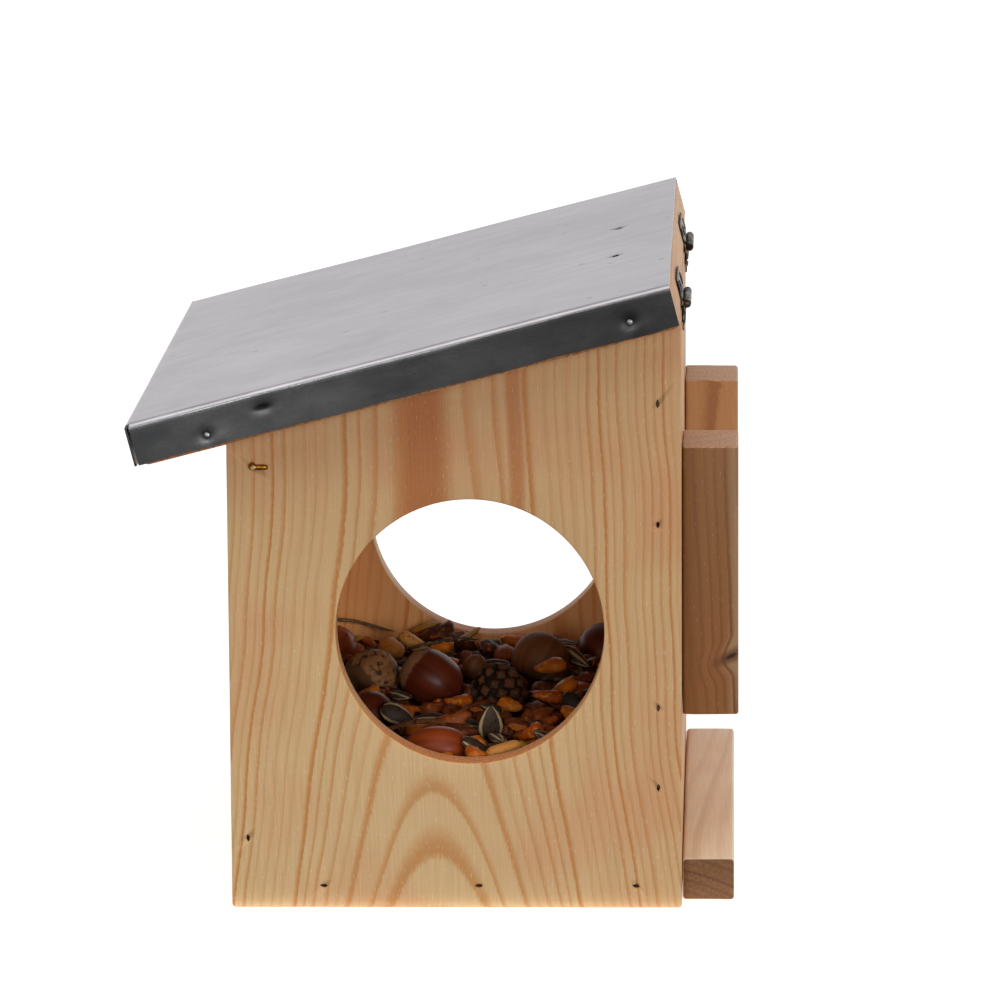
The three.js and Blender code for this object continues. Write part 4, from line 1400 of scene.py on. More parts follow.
@dataclass
class Lid:
    """The lid's pine board, the zinc sheet folded over it, and the sheet's nails.

    A dimple or dark patch is a middle and its reach along each axis, in the lid's frame.
    """

    width: float = 275.0
    front_overhang: float = 29.2
    board: float = 14.25
    board_front_gap: float = 2.5
    board_side_gap: float = 0.3
    sheet: float = 0.7
    sheet_gap: float = 0.2
    lip: float = 14.4
    bend: float = 1.8
    seam: float = 0.8
    side_nails: tuple[Pair, Pair] = ((-15.4, 6.0), (-158.535, 4.7))
    front_nails: Pair = (85.0, 4.7)
    top_nails: Pair = (34.3, -19.8)
    nail_sunk: float = 0.3
    dent: Pair = (-138.5, 9.4)
    top_waves: Pair = (0.16, 88.0)
    lip_waves: Pair = (0.08, 41.0)
    foot_reach: float = 4.0
    foot_wave: float = 0.22
    nail: tuple[Pair, ...] = (
        (0.0, -12.0), (0.35, -11.2), (0.7, -10.4), (0.7, -0.25), (1.0, -0.2),
        (1.16, -0.08), (1.12, 0.08), (0.9, 0.2), (0.5, 0.27), (0.0, 0.29),
    )

    @property
    def half(self) -> float:
        """Half of the sheet's width."""
        return self.width / 2.0

    @property
    def length(self) -> float:
        """Length of the sheet down the slope."""
        return 2.0 * PLAN.half_depth / math.cos(math.radians(PLAN.pitch)) + self.front_overhang

    @property
    def top(self) -> float:
        """Height of the sheet's top over the lid frame's origin."""
        return self.board + self.sheet_gap + self.sheet

    @property
    def lip_foot(self) -> float:
        """Height of the lips' lower edges."""
        return self.top - self.lip

    def build(self) -> None:
        """Makes the board, the sheet and the nails."""
        self._board()
        self._sheet()
        self._nails()

    def _board(self) -> None:
        """The pine board, its grain running across the lid."""
        half = self.half - self.sheet - self.board_side_gap
        corners = rectangle(self.sheet + self.board_front_gap - self.length, 0.0, 0.0, self.board)
        board = Slab(corners, 2.0 * half, 1.0, 1.6, 0.1, seed=51).shell()
        timber = Timber(
            "lid_pine", Axis.Y, Axis.X, WARM_PINE, (0.0, PLAN.half_depth, PLAN.lid_corner_height),
            middle_depth=38.0, ring=2.7, taper=0.02, pitch=PLAN.pitch, seed=57.0,
        )
        board = board.moved(sideways(-half)).moved(PLAN.lid_matrix())
        place_piece("lid_board", board, timber.material(), Body.LID, ["roof_board"])

    def _section(self) -> tuple[Array, Array]:
        """The sheet's outer face across the slope: lip, quarter bend, flat top, bend and lip.

        Returns:
            Rows of X and height, and the outward directions there.
        """
        middle = np.array([self.half, self.top]) - self.bend
        circle = on_circle(np.linspace(0.0, QUARTER, 10))
        lip = spots(self.half, np.linspace(self.lip_foot, middle[1], 13)[:-1])
        right = np.concatenate([lip, middle + self.bend * circle])
        right_out = np.concatenate([np.tile((1.0, 0.0), (len(lip), 1)), circle])
        flat = spots(np.linspace(middle[0], -middle[0], 184)[1:-1], self.top)
        flat_out = np.tile((0.0, 1.0), (len(flat), 1))
        mirror = (-1.0, 1.0)
        points = np.concatenate([right, flat, right[::-1] * mirror])
        return points, np.concatenate([right_out, flat_out, right_out[::-1] * mirror])

    def _sheet(self) -> None:
        """The folded sheet. One grid runs down the slope along the whole section; a second runs
        over the front bend and down the front lip. Both are pushed in by the same waves, so that
        they meet point by point."""
        section, out = self._section()
        lip_end = -(self.length - self.sheet - self.seam)
        top_end = -(self.length - self.bend)
        ends = lip_end + (top_end - lip_end) * np.clip(out[:, 1], 0.0, 1.0)
        depth = np.linspace(0.0, 1.0, 124)[:, None] * ends
        outward = spots(out[:, 0], np.zeros_like(depth), out[:, 1])
        main = self._pushed(spots(section[:, 0], depth, section[:, 1]), outward)
        across = section[out[:, 1] > 0.999, 0]
        margin = np.linspace(self.half, across[0], 4)[:-1]
        across = np.concatenate([margin, across, -margin[::-1]])
        circle = on_circle(np.linspace(0.0, QUARTER, 10))[:, ::-1] * (-1.0, 1.0)
        drop = np.linspace(self.top - self.bend, self.lip_foot, 13)[1:]
        line = np.concatenate([(top_end, self.top - self.bend) + self.bend * circle, spots(-self.length, drop)])
        line_out = np.concatenate([circle, np.tile((-1.0, 0.0), (len(drop), 1))])
        outward = spots(np.zeros_like(across), line_out[:, :1], line_out[:, 1:])
        front = self._pushed(spots(across, line[:, :1], line[:, 1:]), outward)
        shell = Shell.joined([grid_shell(grid, wrap_columns=False) for grid in (main, front)])
        shell = shell.moved(PLAN.lid_matrix())
        zinc = Zinc(dark_patches=self._dark_patches()).material()
        nodes = ["roof_sheet"]
        piece = place_piece("lid_sheet", shell, zinc, Body.LID, nodes, 50.0, closed=False)
        wall = piece.modifiers.new("thickness", "SOLIDIFY")
        wall.thickness, wall.offset = self.sheet * METRES_PER_MM, -1.0

    def _dimples(self) -> list[tuple[float, Triple, Triple]]:
        """How the sheet is pressed in round its nails and at its dent: depth, middle and reach.

        Returns:
            One row for each; a depth below nothing is a swelling.
        """
        front_x, front_z = self.front_nails
        top_x, top_y = self.top_nails
        dimples = []
        for sign in SIDES:
            side = sign * self.half
            for row, height in self.side_nails:
                dimples.append((0.36, (side, row, height), (2.0, 2.3, 2.2)))
                dimples.append((-0.14, (side, row + 2.6, height - 1.8), (3.0, 3.6, 3.0)))
            dimples.append((0.5, (sign * front_x, -self.length, front_z), (2.7, 2.0, 2.5)))
            dimples.append((0.4, (sign * top_x, top_y, self.top), (2.6, 2.9, 2.0)))
            dimples.append((-0.12, (sign * top_x, top_y - 6.0, self.top), (3.5, 9.0, 2.0)))
        return dimples + [(0.22, (self.half, *self.dent), (2.0, 3.0, 1.7))]

    def _pushed(self, points: Array, outward: Array) -> Array:
        """Moves points of the sheet along their outward directions: long shallow waves on the flat
        top, a dimple round each nail, a dent in the near lip, and a slightly wavy lower edge.

        Args:
            points: Points of the sheet in the lid's frame.
            outward: Their outward directions.

        Returns:
            The moved points.
        """
        places = points.reshape(-1, 3)
        away = outward.reshape(-1, 3)
        on_top = np.clip(away[:, 2], 0.0, 1.0)
        (top_height, top_length), (lip_height, lip_length) = self.top_waves, self.lip_waves
        waves = top_height * (ripples(places[:, :2], top_length, 71) - 1.0) * on_top
        waves += lip_height * (ripples(places, lip_length, 72) - 1.0) * (1.0 - on_top)
        waves -= sum(depth * bell(places, middle, reach) for depth, middle, reach in self._dimples())
        moved = places + away * waves[:, None]
        foot = np.clip((self.lip_foot + self.foot_reach - moved[:, 2]) / self.foot_reach, 0.0, 1.0)
        wave = ripples(places[:, :2], 33.0, 73) + 0.9
        moved[:, 2] += self.foot_wave * foot * (1.0 - on_top) * wave
        return moved.reshape(points.shape)

    def _dark_patches(self) -> list[tuple[Triple, Triple]]:
        """Where dark patches are painted on the sheet: at the dent, the near nails and the top nails.

        Returns:
            The middle and the reach of each.
        """
        dark_patches = [((self.half, *self.dent), (3.0, 4.2, 1.5))]
        dark_patches += [((self.half, row, height), (2.0, 2.0, 2.0)) for row, height in self.side_nails]
        top_x, top_y = self.top_nails
        return dark_patches + [((sign * top_x, top_y, self.top), (2.2, 3.4, 1.5)) for sign in SIDES]

    def _nails(self) -> None:
        """The nails: a shank and a small domed head pressed into its dimple."""
        nail = lathe(self.nail, 28)
        side, front_y = self.half - self.nail_sunk, self.nail_sunk - self.length
        front_x, front_z = self.front_nails
        top_x, top_y = self.top_nails
        top_z = self.top - self.nail_sunk + 0.05
        places = [
            fastener_matrix((sign * side, row, height), (sign, 0, 0), (0, 1, 0))
            for sign in (1.0, -1.0)
            for row, height in self.side_nails
        ]
        places += [fastener_matrix((sign * front_x, front_y, front_z), (0, -1, 0), (1, 0, 0)) for sign in SIDES]
        places += [fastener_matrix((sign * top_x, top_y, top_z), (0, 0, 1), (1, 0, 0)) for sign in SIDES]
        shell = Shell.joined([nail.moved(place) for place in places]).moved(PLAN.lid_matrix())
        nodes = [node for row in ("right", "left", "front", "top") for node in numbered(f"roof_nail_{row}", 2)]
        place_piece("lid_nails", shell, NAIL_STEEL.material(), Body.LID, nodes)


# The hinges


@dataclass
class Hinges:
    """Two butt hinges: leaves rolled into knuckles, pins with pressed heads, and slotted screws."""

    length: float = 30.0
    from_side: float = 48.0
    leaf: float = 9.0
    sheet: float = 0.6
    seat_gap: float = 0.3
    pin: float = 0.6
    pin_gap: float = 0.25
    knuckles: int = 5
    knuckle_gap: float = 0.3
    strip_rows: tuple[Pair, ...] = ((0.0, 0.0), (0.0, 0.7), (0.12, 1.0))
    screw_spacing: float = 18.0
    screw_from_pin: float = 5.4
    screw_head: float = 2.1
    screw_length: float = 9.0
    slot_width: float = 0.6
    slot_depth: float = 0.5

    @property
    def knuckle(self) -> float:
        """Outer radius of a knuckle."""
        return self.pin + self.pin_gap + self.sheet

    @property
    def middle_x(self) -> float:
        """How far the hinges' middles stand from the box's middle."""
        return PLAN.half_width - self.from_side

    def build(self) -> None:
        """Makes both hinges and their screws."""
        steel, dark = ZINC_STEEL.material(), DARK_STEEL.material()
        pin_y = self.seat_gap + self.knuckle
        upside_down = np.diag([1.0, 1.0, -1.0])
        for side, sign in (("right", 1.0), ("left", -1.0)):
            x = sign * self.middle_x
            box_place = placed((x, PLAN.half_depth + pin_y, PLAN.pin_height))
            lid_place = PLAN.lid_matrix() @ placed((x, pin_y, -PLAN.pin_drop), upside_down)
            pieces = (
                ("low", self._leaf(0).moved(box_place), steel, Body.BOX, "zinc_steel", "body_leaf"),
                ("high", self._leaf(1).moved(lid_place), steel, Body.LID, "zinc_steel", "roof_leaf"),
                ("rod", self._pin().moved(box_place), dark, Body.BOX, "dark_steel", "pin"),
            )
            for part, shell, finish, body, slot, node in pieces:
                place_piece(f"hinge_{side}_{part}", shell, finish, body, [f"hinge_{side}_{node}"])
        self._screws(steel)

    def _leaf(self, first: int) -> Shell:
        """One leaf: a thin plate with softened corners, and strips of the same sheet rolled round
        the pin. Each strip's middle line runs up the plate's plane and nine tenths of the way round
        the pin; its section is that line moved out and in by half of the sheet.

        Args:
            first: Number of the first knuckle that belongs to this leaf.

        Returns:
            Closed surfaces, with the pin's middle as origin and the plate hanging down.
        """
        half, middle = self.length / 2.0, self.knuckle - self.sheet / 2.0
        top = -(self.knuckle + self.knuckle_gap)
        plate = Slab(rectangle(-half, half, -self.leaf, top), self.sheet, 0.16, 1.0, 0.2, 81).shell()
        plate = plate.moved(placed((0.0, -self.knuckle, 0.0), np.eye(3)[:, [0, 2, 1]]))
        rise = np.linspace(top - 1.2, 0.0, 8)[:-1]
        circle = on_circle(np.radians(np.linspace(180.0, -138.0, 44)))
        line = np.concatenate([spots(-middle, rise), middle * circle])
        out = np.concatenate([np.tile((-1.0, 0.0), (len(rise), 1)), circle]) * self.sheet / 2.0
        pitch = self.length / self.knuckles
        width = pitch - self.knuckle_gap
        rows = [*self.strip_rows, *((width - place, share) for place, share in self.strip_rows[::-1])]
        strips = []
        for index in range(first, self.knuckles, 2):
            start = index * pitch + self.knuckle_gap / 2.0 - half
            rings = []
            for place, share in rows:
                loop = np.concatenate([line + out * share, (line - out * share)[::-1]])
                rings.append(spots(start + place, loop[:, 0], loop[:, 1]))
            strips.append(grid_shell(np.stack(rings)))
        return Shell.joined([plate, *strips])

    def _pin(self) -> Shell:
        """The pin: a round bar with a flattened head at each end.

        Returns:
            A closed surface along X.
        """
        half = self.length / 2.0 + self.knuckle_gap
        head = [(self.pin, 0.0), (1.0, 0.0), (1.1, 0.1), (0.95, 0.3), (0.6, 0.47), (0.0, 0.5)]
        profile = [(radius, -half - rise) for radius, rise in head[::-1]]
        profile += [(radius, half + rise) for radius, rise in head]
        return lathe(profile, 32).moved(sideways(0.0))

    def _screw(self) -> Shell:
        """One screw. The head is a grid of chords: each row is a chord of the head's circle, raised
        into a low dome, and the rows of the slot are set down, so that its walls stand upright. The
        same chords, set lower, close the head underneath.

        Returns:
            Closed surfaces, with the leaf's face at height 0.
        """
        radius, slot, foot = self.screw_head, self.slot_width / 2.0, -self.screw_length
        outer = radius * np.sin(np.linspace(-QUARTER, -math.asin(slot / radius), 9))
        y = np.concatenate([outer, [-slot, slot], -outer[::-1]])[:, None]
        deep = np.zeros_like(y)
        deep[len(outer) : len(outer) + 2] = self.slot_depth
        x = np.linspace(-1.0, 1.0, 15) * np.sqrt(np.clip(radius**2 - y**2, 0.0, None))
        level = 0.3 + 0.22 * (1.0 - (x**2 + y**2) / radius**2) - deep
        head = grid_shell(np.concatenate([spots(x, y, level), spots(x, y, -0.35)[:, ::-1]], axis=1))
        shank = [(0.0, foot), (0.4, foot + 1.0), (1.0, foot + 2.0), (1.0, -1.3), (radius, -0.3), (0.0, -0.3)]
        return Shell.joined([head, lathe(shank, 24)])

    def _screws(self, steel: Material) -> None:
        """Makes the screws of both leaves, each with its slot turned its own way.

        Args:
            steel: The finish.
        """
        screw, rng, face = self._screw(), np.random.default_rng(83), self.seat_gap + self.sheet
        xs = [hinge * self.middle_x + side * self.screw_spacing / 2.0 for hinge in SIDES for side in SIDES]
        low = (PLAN.half_depth + face, PLAN.pin_height - self.screw_from_pin)
        high = (face, self.screw_from_pin - PLAN.pin_drop)
        sets = (
            ("low", Body.BOX, np.eye(4), low, "hinge_body_screw"),
            ("high", Body.LID, PLAN.lid_matrix(), high, "hinge_roof_screw"),
        )
        for part, body, matrix, (y, z), node in sets:
            shells = []
            for x in xs:
                angle = rng.uniform(0.0, math.pi)
                across = (math.cos(angle), 0.0, math.sin(angle))
                shells.append(screw.moved(matrix @ fastener_matrix((x, y, z), (0, 1, 0), across)))
            nodes = numbered(node, 4)
            place_piece(f"hinge_screws_{part}", Shell.joined(shells), steel, body, nodes)


# The feed


class Heap:
    """The feed's surface as a map of heights, on which things are laid one by one."""

    half_x: float = 104.3
    half_y: float = 63.3
    level: float = 39.8
    room: float = 10.5
    far_drop: float = 0.6
    ripple: float = 1.1
    corner_rise: float = 9.5
    bottom: float = 13.8
    barred: float = 500.0

    def __init__(self, seed: int) -> None:
        """Starts with a bare bed.

        Args:
            seed: Start of the random draw.
        """
        self.rng = np.random.default_rng(seed)
        self.x, self.y = (np.arange(-reach, reach + 0.5, 1.0) for reach in (104.0, 63.0))
        self.height = self.bed(self.x[:, None], self.y)

    def bed(self, x: Array | float, y: Array | float) -> Array:
        """Height of the bare bed: a level with two crossed waves, and a rise towards the far front
        corner that grows as the square of both distances.

        Args:
            x: Places across.
            y: Places along.

        Returns:
            One height for each place.
        """
        wave = np.sin(x / 13.5 + y / 27.0) * np.cos(y / 9.0 - x / 27.0)
        corner = ((self.half_x - x) / (2.0 * self.half_x) * (self.half_y - y) / (2.0 * self.half_y)) ** 2
        return self.level + self.ripple * wave + self.corner_rise * corner

    def lay(
        self, place: Sequence[float], turned: Array, half: Sequence[float], sink: float = 0.0, keep: bool = True
    ) -> Pair:
        """Finds the height at which a thing comes to rest. The thing is taken as an ellipsoid: over
        each cell of the map, its underside is the lower root of the ellipsoid's equation, and it
        comes to rest where the largest gap between map and underside closes.

        Args:
            place: Middle of the thing, with its height where that is given.
            turned: Its turn, 3 by 3.
            half: Its half sizes along its own axes.
            sink: How deep it settles between its neighbours.
            keep: Whether the map takes it in.

        Returns:
            Height of its middle and of its top.
        """
        x, y = place[:2]
        spread = turned @ np.diag(np.square(half)) @ turned.T
        reach_x, reach_y, reach_z = np.sqrt(np.diag(spread))
        rows = slice(*np.searchsorted(self.x, (x - reach_x, x + reach_x)))
        columns = slice(*np.searchsorted(self.y, (y - reach_y, y + reach_y)))
        dx, dy = self.x[rows, None] - x, self.y[None, columns] - y
        plane = np.linalg.inv(spread[:2, :2])
        side = spread[:2, 2] @ plane
        inside = 1.0 - (plane[0, 0] * dx**2 + 2.0 * plane[0, 1] * dx * dy + plane[1, 1] * dy**2)
        middle = side[0] * dx + side[1] * dy
        root = np.sqrt(np.clip(inside, 0.0, None) * max(spread[2, 2] - side @ spread[:2, 2], 1e-6))
        there = self.height[rows, columns]
        if len(place) > 2:
            z = place[2]
        else:
            gaps = np.where(inside > 0.0, there - (middle - root), -np.inf)
            z = (gaps.max() if gaps.size and np.isfinite(gaps.max()) else self.level) - sink
        if keep:
            self.height[rows, columns] = np.where(inside > 0.0, np.maximum(there, z + middle + root), there)
        return float(z), float(z + reach_z)

    def settle(self, place: Triple, turned: Array, half: Sequence[float], reach: float) -> None:
        """Lays a thing at a place of its own, and keeps a round spot clear of what is laid later.

        Args:
            place: Its middle.
            turned: Its turn, 3 by 3.
            half: Its half sizes along its own axes.
            reach: Radius of the spot.
        """
        self.lay(place, turned, half)
        away = np.hypot(self.x[:, None] - place[0], self.y - place[1])
        self.height = np.where(away < reach, self.height + self.barred, self.height)

    def scatter(self, half: Array, lean: float, sink: float = 0.9, tries: int = 7) -> tuple[Array, Array]:
        """Lays many like things, each at the lowest of a few random spots. One that would stand out
        of the heap is left out.

        Args:
            half: Half sizes of each along its own axes, count by 3.
            lean: How far they may tip, in radians.
            sink: How deep they settle.
            tries: How many spots are weighed for each.

        Returns:
            The places, 4 by 4 each, and the half sizes of those that are laid.
        """
        places, laid = [], []
        for index, size in enumerate(half):
            reach = float(size.max())
            tried = []
            for _ in range(tries):
                turned = turn((*self.rng.normal(0.0, lean, 2), self.rng.uniform(0.0, FULL_TURN)))
                x = self.rng.uniform(-self.half_x + reach, self.half_x - reach)
                y = self.rng.uniform(-self.half_y + reach, self.half_y - reach)
                z, top = self.lay((x, y), turned, size, sink, keep=False)
                tried.append((top, x, y, z, turned))
            top, x, y, z, turned = min(tried, key=lambda spot: spot[0])
            ceiling = float(self.bed(x, y)) + self.room
            if top <= ceiling - self.far_drop * (self.half_x - x) / (2.0 * self.half_x):
                self.lay((x, y, z), turned, size)
                places.append(placed((x, y, z), turned))
                laid.append(index)
        return np.array(places).reshape(-1, 4, 4), half[laid]


def pod(profile: Outline, rows: int, columns: int) -> Shell:
    """A seed of unit half sizes: circles along X whose radius follows a profile.

    Args:
        profile: Radius by the share of the way along, nothing at both ends.
        rows: Circles.
        columns: Points round each circle.

    Returns:
        A closed surface, with its share of the way along and across.
    """
    share = (1.0 - np.cos(math.pi * np.linspace(0.0, 1.0, rows)))[:, None] / 2.0
    circle = on_circle(round_turn(columns))
    radius = profile(share)
    points = spots(2.0 * share - 1.0, radius * circle[:, 0], radius * circle[:, 1])
    along, across = np.broadcast_arrays(share, circle[:, 0])
    return grid_shell(points, fields={"along": along, "across": across})


def strewn(shape: Shell, half: Array, places: Array, seed: int, rough: float = 0.0, curl: float = 0.0) -> Shell:
    """Many copies of a seed as one surface, each with its own size, place, tint and lumps.

    Args:
        shape: The seed, of unit half sizes.
        half: Half sizes, count by 3.
        places: Places, count by 4 by 4.
        seed: Start of the random draw.
        rough: How deep the lumps are, as a share of the half sizes.
        curl: How far the ends are bent aside, as a share of the half length, at most.

    Returns:
        One surface.
    """
    rng = np.random.default_rng(seed)
    count, size = len(half), len(shape.points)
    own = np.repeat(shape.points[None], count, axis=0)
    if rough:
        for depth, scale, wavelength, start in ((rough, 1.6, 2.1, seed), (0.5 * rough, 4.0, 2.3, seed + 1)):
            shifted = own * scale + rng.uniform(0.0, 60.0, (count, 1, 3))
            own = own * (1.0 + depth * ripples(shifted, wavelength, start))[..., None]
    own = own * half[:, None, :]
    if curl:
        bend = rng.uniform(-curl, curl, (count, 2)) * half[:, :1]
        own[..., 1:] += (shape.points[None, :, :1] ** 2 - 0.4) * bend[:, None, :] * (1.0, 0.4)
    points = np.einsum("nij,nkj->nki", places[:, :3, :3], own) + places[:, None, :3, 3]
    faces = shape.faces[None] + (np.arange(count) * size)[:, None, None]
    fields = {name: np.tile(values, count) for name, values in shape.fields.items()}
    fields["tint"] = np.repeat(rng.uniform(0.0, 1.0, count), size)
    return Shell(points.reshape(-1, 3), faces.reshape(-1, 4), fields)


@dataclass(frozen=True)
class SeedFinish:
    """The look of one kind of seed: two colours between which single seeds differ, a third in
    patches, and lines along the seed where it has them."""

    name: str
    first: Colour
    second: Colour
    patch: Colour
    patches: float = 0.5
    roughness: float = 0.55
    lines: float = 0.0
    line: Colour = srgb(176, 150, 112)
    bump: float = 0.4

    def material(self) -> Material:
        """The finish.

        Returns:
            A material.
        """
        graph = Graph(self.name)
        place, tint = graph.millimetres(), graph.number("tint")
        cloud = graph.noise(place, 0.55, 3.0, 0.6)
        grain = graph.noise(place, 2.6, 3.0, 0.6)
        colour = graph.mix(tint, self.first, self.second)
        patch = graph.rise(cloud, 0.62 - 0.3 * self.patches, 0.78 - 0.2 * self.patches)
        colour = graph.mix(patch, colour, self.patch)
        if self.lines:
            across = graph.line(graph.noise(place, 0.35), 0.16, graph.number("across"))
            rim = graph.math("ABSOLUTE", graph.less(across, 0.08))
            wave = graph.math("SINE", graph.line(rim, self.lines, 0.81))
            shown = graph.math("MAXIMUM", graph.rise(rim, 0.3, 0.6), graph.rise(tint, 0.72, 0.78))
            shown = graph.times(shown, graph.rise(tint, 0.3, 0.36))
            colour = graph.mix(graph.times(graph.rise(wave, 0.35, 0.8), shown), colour, self.line)
        colour = graph.shaded(colour, grain, 0.7, 1.3)
        roughness = graph.spread(grain, self.roughness - 0.12, self.roughness + 0.15)
        return graph.finish(colour, roughness, graph.bump(grain, self.bump, 0.25), Specular_IOR_Level=0.25)


@dataclass(frozen=True)
class SeedKind:
    """One kind of seed in the mix: how many, how large in half sizes, its outline and its look."""

    name: str
    count: int
    half: Triple
    profile: Outline
    look: SeedFinish
    lean: float = 0.35
    rough: float = 0.0
    rows: int = 8
    columns: int = 8
    curl: float = 0.0


def drop_outline(share: Array) -> Array:
    """Pointed at the end and blunt at the start: a sine of the share to the power of 0.72."""
    return np.clip(np.sin(math.pi * share**0.72), 0.0, None) ** 0.75


def bean_outline(share: Array) -> Array:
    """Blunt at both ends with a faint waist."""
    middle = 2.0 * share - 1.0
    return np.sqrt(np.clip(1.0 - middle**4, 0.0, None)) * (1.0 - 0.12 * np.exp(-8.0 * middle**2))


def grain_outline(share: Array) -> Array:
    """The half circle of an ellipsoid."""
    return np.sqrt(np.clip(1.0 - (2.0 * share - 1.0) ** 2, 0.0, None))


def wedge_outline(share: Array) -> Array:
    """Narrow at the start and broad at the end, as a kernel of maize is."""
    return np.clip(0.42 + 0.75 * share, 0.0, 1.0) * np.sqrt(np.clip(1.0 - (2.0 * share - 1.0) ** 6, 0.0, None))


CRUMB = SeedFinish("crumb_seed", srgb(116, 54, 20), srgb(50, 27, 15), srgb(176, 98, 30))
FLAKE = SeedFinish("flake_seed", srgb(206, 150, 36), srgb(150, 122, 40), srgb(214, 120, 40), 0.3)
GRAIN = SeedFinish("grain_seed", srgb(186, 112, 36), srgb(122, 62, 22), srgb(98, 48, 18))
HUSK = SeedFinish("husk_seed", srgb(136, 84, 40), srgb(66, 36, 18), srgb(44, 25, 14), 0.45, 0.7)
STRAW = SeedFinish("stem_straw", srgb(112, 92, 72), srgb(58, 44, 34), srgb(150, 118, 80), 0.4, 0.7)
RAISIN = SeedFinish("raisin_fruit", srgb(138, 64, 18), srgb(60, 27, 12), srgb(166, 86, 26), 0.4, 0.5)
MAIZE = SeedFinish("maize_seed", srgb(208, 112, 18), srgb(172, 70, 14), srgb(212, 150, 50), 0.35, 0.4)
SUNFLOWER = SeedFinish("sunflower_seed", srgb(38, 30, 24), srgb(74, 56, 42), srgb(26, 18, 14), 0.3, 0.5, 8.8)
PEANUT = SeedFinish("peanut_seed", srgb(208, 144, 66), srgb(176, 100, 42), srgb(150, 76, 30), 0.3, 0.45)

SEEDS = (
    SeedKind("feed_crumbs", 620, (2.3, 1.5, 1.1), grain_outline, CRUMB, rough=0.22, rows=6, columns=6),
    SeedKind("feed_flakes", 150, (3.6, 2.7, 0.8), grain_outline, FLAKE, 0.7, 0.2, 7, 8, 0.25),
    SeedKind("feed_grains", 220, (3.2, 1.6, 1.3), grain_outline, GRAIN, rough=0.1, rows=7, columns=6),
    SeedKind("feed_husks", 150, (6.6, 2.3, 0.7), drop_outline, HUSK, 0.6, 0.16, curl=0.3),
    SeedKind("feed_stems", 70, (11.0, 0.75, 0.6), bean_outline, STRAW, 0.3, 0.2, 12, 6, 0.3),
    SeedKind("feed_raisins", 190, (5.0, 3.6, 2.6), grain_outline, RAISIN, rough=0.34, rows=10, columns=12),
    SeedKind("feed_maize", 170, (4.5, 3.7, 2.4), wedge_outline, MAIZE, rough=0.16),
    SeedKind("feed_sunflower", 120, (5.9, 3.1, 1.7), drop_outline, SUNFLOWER, 0.5, columns=14),
    SeedKind("feed_peanuts", 34, (6.2, 3.4, 2.6), bean_outline, PEANUT, 0.4, 0.05),
)

# Seeds that the entrance shows best: kind, middle, turns and half sizes.
CHOSEN = (
    ("feed_sunflower", (60.5, 9.6, 51.2), (0.1, -1.35, 0.12), (6.6, 4.7, 1.9)),
    ("feed_sunflower", (88.0, 6.2, 48.6), (0.6, 0.5, 1.9), (6.4, 3.2, 1.8)),
    ("feed_sunflower", (40.2, -22.8, 49.4), (1.1, 0.4, 1.6), (6.6, 4.0, 1.9)),
    ("feed_sunflower", (-53.0, 35.5, 51.0), (0.7, 0.5, 1.2), (6.6, 3.4, 1.9)),
    ("feed_sunflower", (30.0, 38.0, 50.5), (0.9, 0.7, 1.0), (6.4, 3.4, 1.8)),
    ("feed_peanuts", (94.0, 15.2, 49.2), (0.2, -0.25, 1.8), (6.4, 2.9, 2.4)),
    ("feed_maize", (96.5, 5.2, 48.4), (0.2, 0.3, 0.4), (4.2, 3.6, 2.6)),
    ("feed_maize", (73.9, 23.5, 50.2), (0.3, -0.5, 1.2), (5.0, 3.8, 2.8)),
    ("feed_maize", (40.0, 36.5, 50.0), (0.3, 0.4, 0.7), (4.8, 3.6, 2.6)),
    ("feed_maize", (20.0, 28.0, 52.0), (0.2, 0.2, 1.9), (5.6, 3.2, 2.6)),
    ("feed_maize", (-66.0, 24.5, 51.2), (0.2, -0.3, 1.4), (5.2, 3.4, 2.6)),
    ("feed_maize", (-66.4, -13.0, 52.0), (0.2, -0.3, 1.4), (5.2, 3.6, 2.8)),
    ("feed_raisins", (56.0, -4.0, 50.0), (0.3, -0.3, 1.4), (7.2, 3.8, 2.8)),
    ("feed_raisins", (62.0, -2.0, 49.0), (0.2, 0.2, 1.7), (6.6, 4.0, 2.6)),
    ("feed_peanuts", (-70.0, -22.4, 52.6), (0.2, 0.6, 1.9), (6.6, 3.4, 2.8)),
    ("feed_peanuts", (-62.0, -30.0, 52.2), (0.2, 0.3, 0.6), (5.4, 4.2, 3.6)),
    ("feed_stems", (-97.0, -46.0, 54.8), (0.05, 0.12, 1.45), (13.5, 0.8, 0.7)),
    ("feed_stems", (-64.0, -11.0, 54.4), (0.1, -0.12, 1.7), (11.5, 0.9, 0.8)),
    ("feed_flakes", (-74.0, -45.0, 52.4), (0.2, -0.5, 1.2), (5.0, 3.6, 1.0)),
    ("feed_flakes", (-96.0, -20.0, 53.2), (0.1, -0.4, 1.5), (6.0, 3.0, 1.0)),
    ("feed_flakes", (-92.0, -3.6, 51.4), (0.2, -0.5, 1.2), (5.6, 3.6, 1.2)),
    ("feed_maize", (-24.0, 27.5, 53.6), (0.2, -0.2, 1.5), (5.6, 3.8, 3.0)),
    ("feed_maize", (8.2, 33.0, 52.4), (0.3, -0.4, 0.8), (6.2, 4.2, 3.2)),
    ("feed_raisins", (-82.0, -13.5, 53.0), (0.2, -0.3, 1.5), (6.6, 4.6, 3.6)),
    ("feed_husks", (60.5, -17.0, 50.6), (0.3, -0.2, 1.45), (12.0, 1.8, 0.7)),
    ("feed_sunflower", (76.0, 29.0, 49.2), (0.5, 0.5, 2.4), (6.2, 3.2, 1.8)),
)


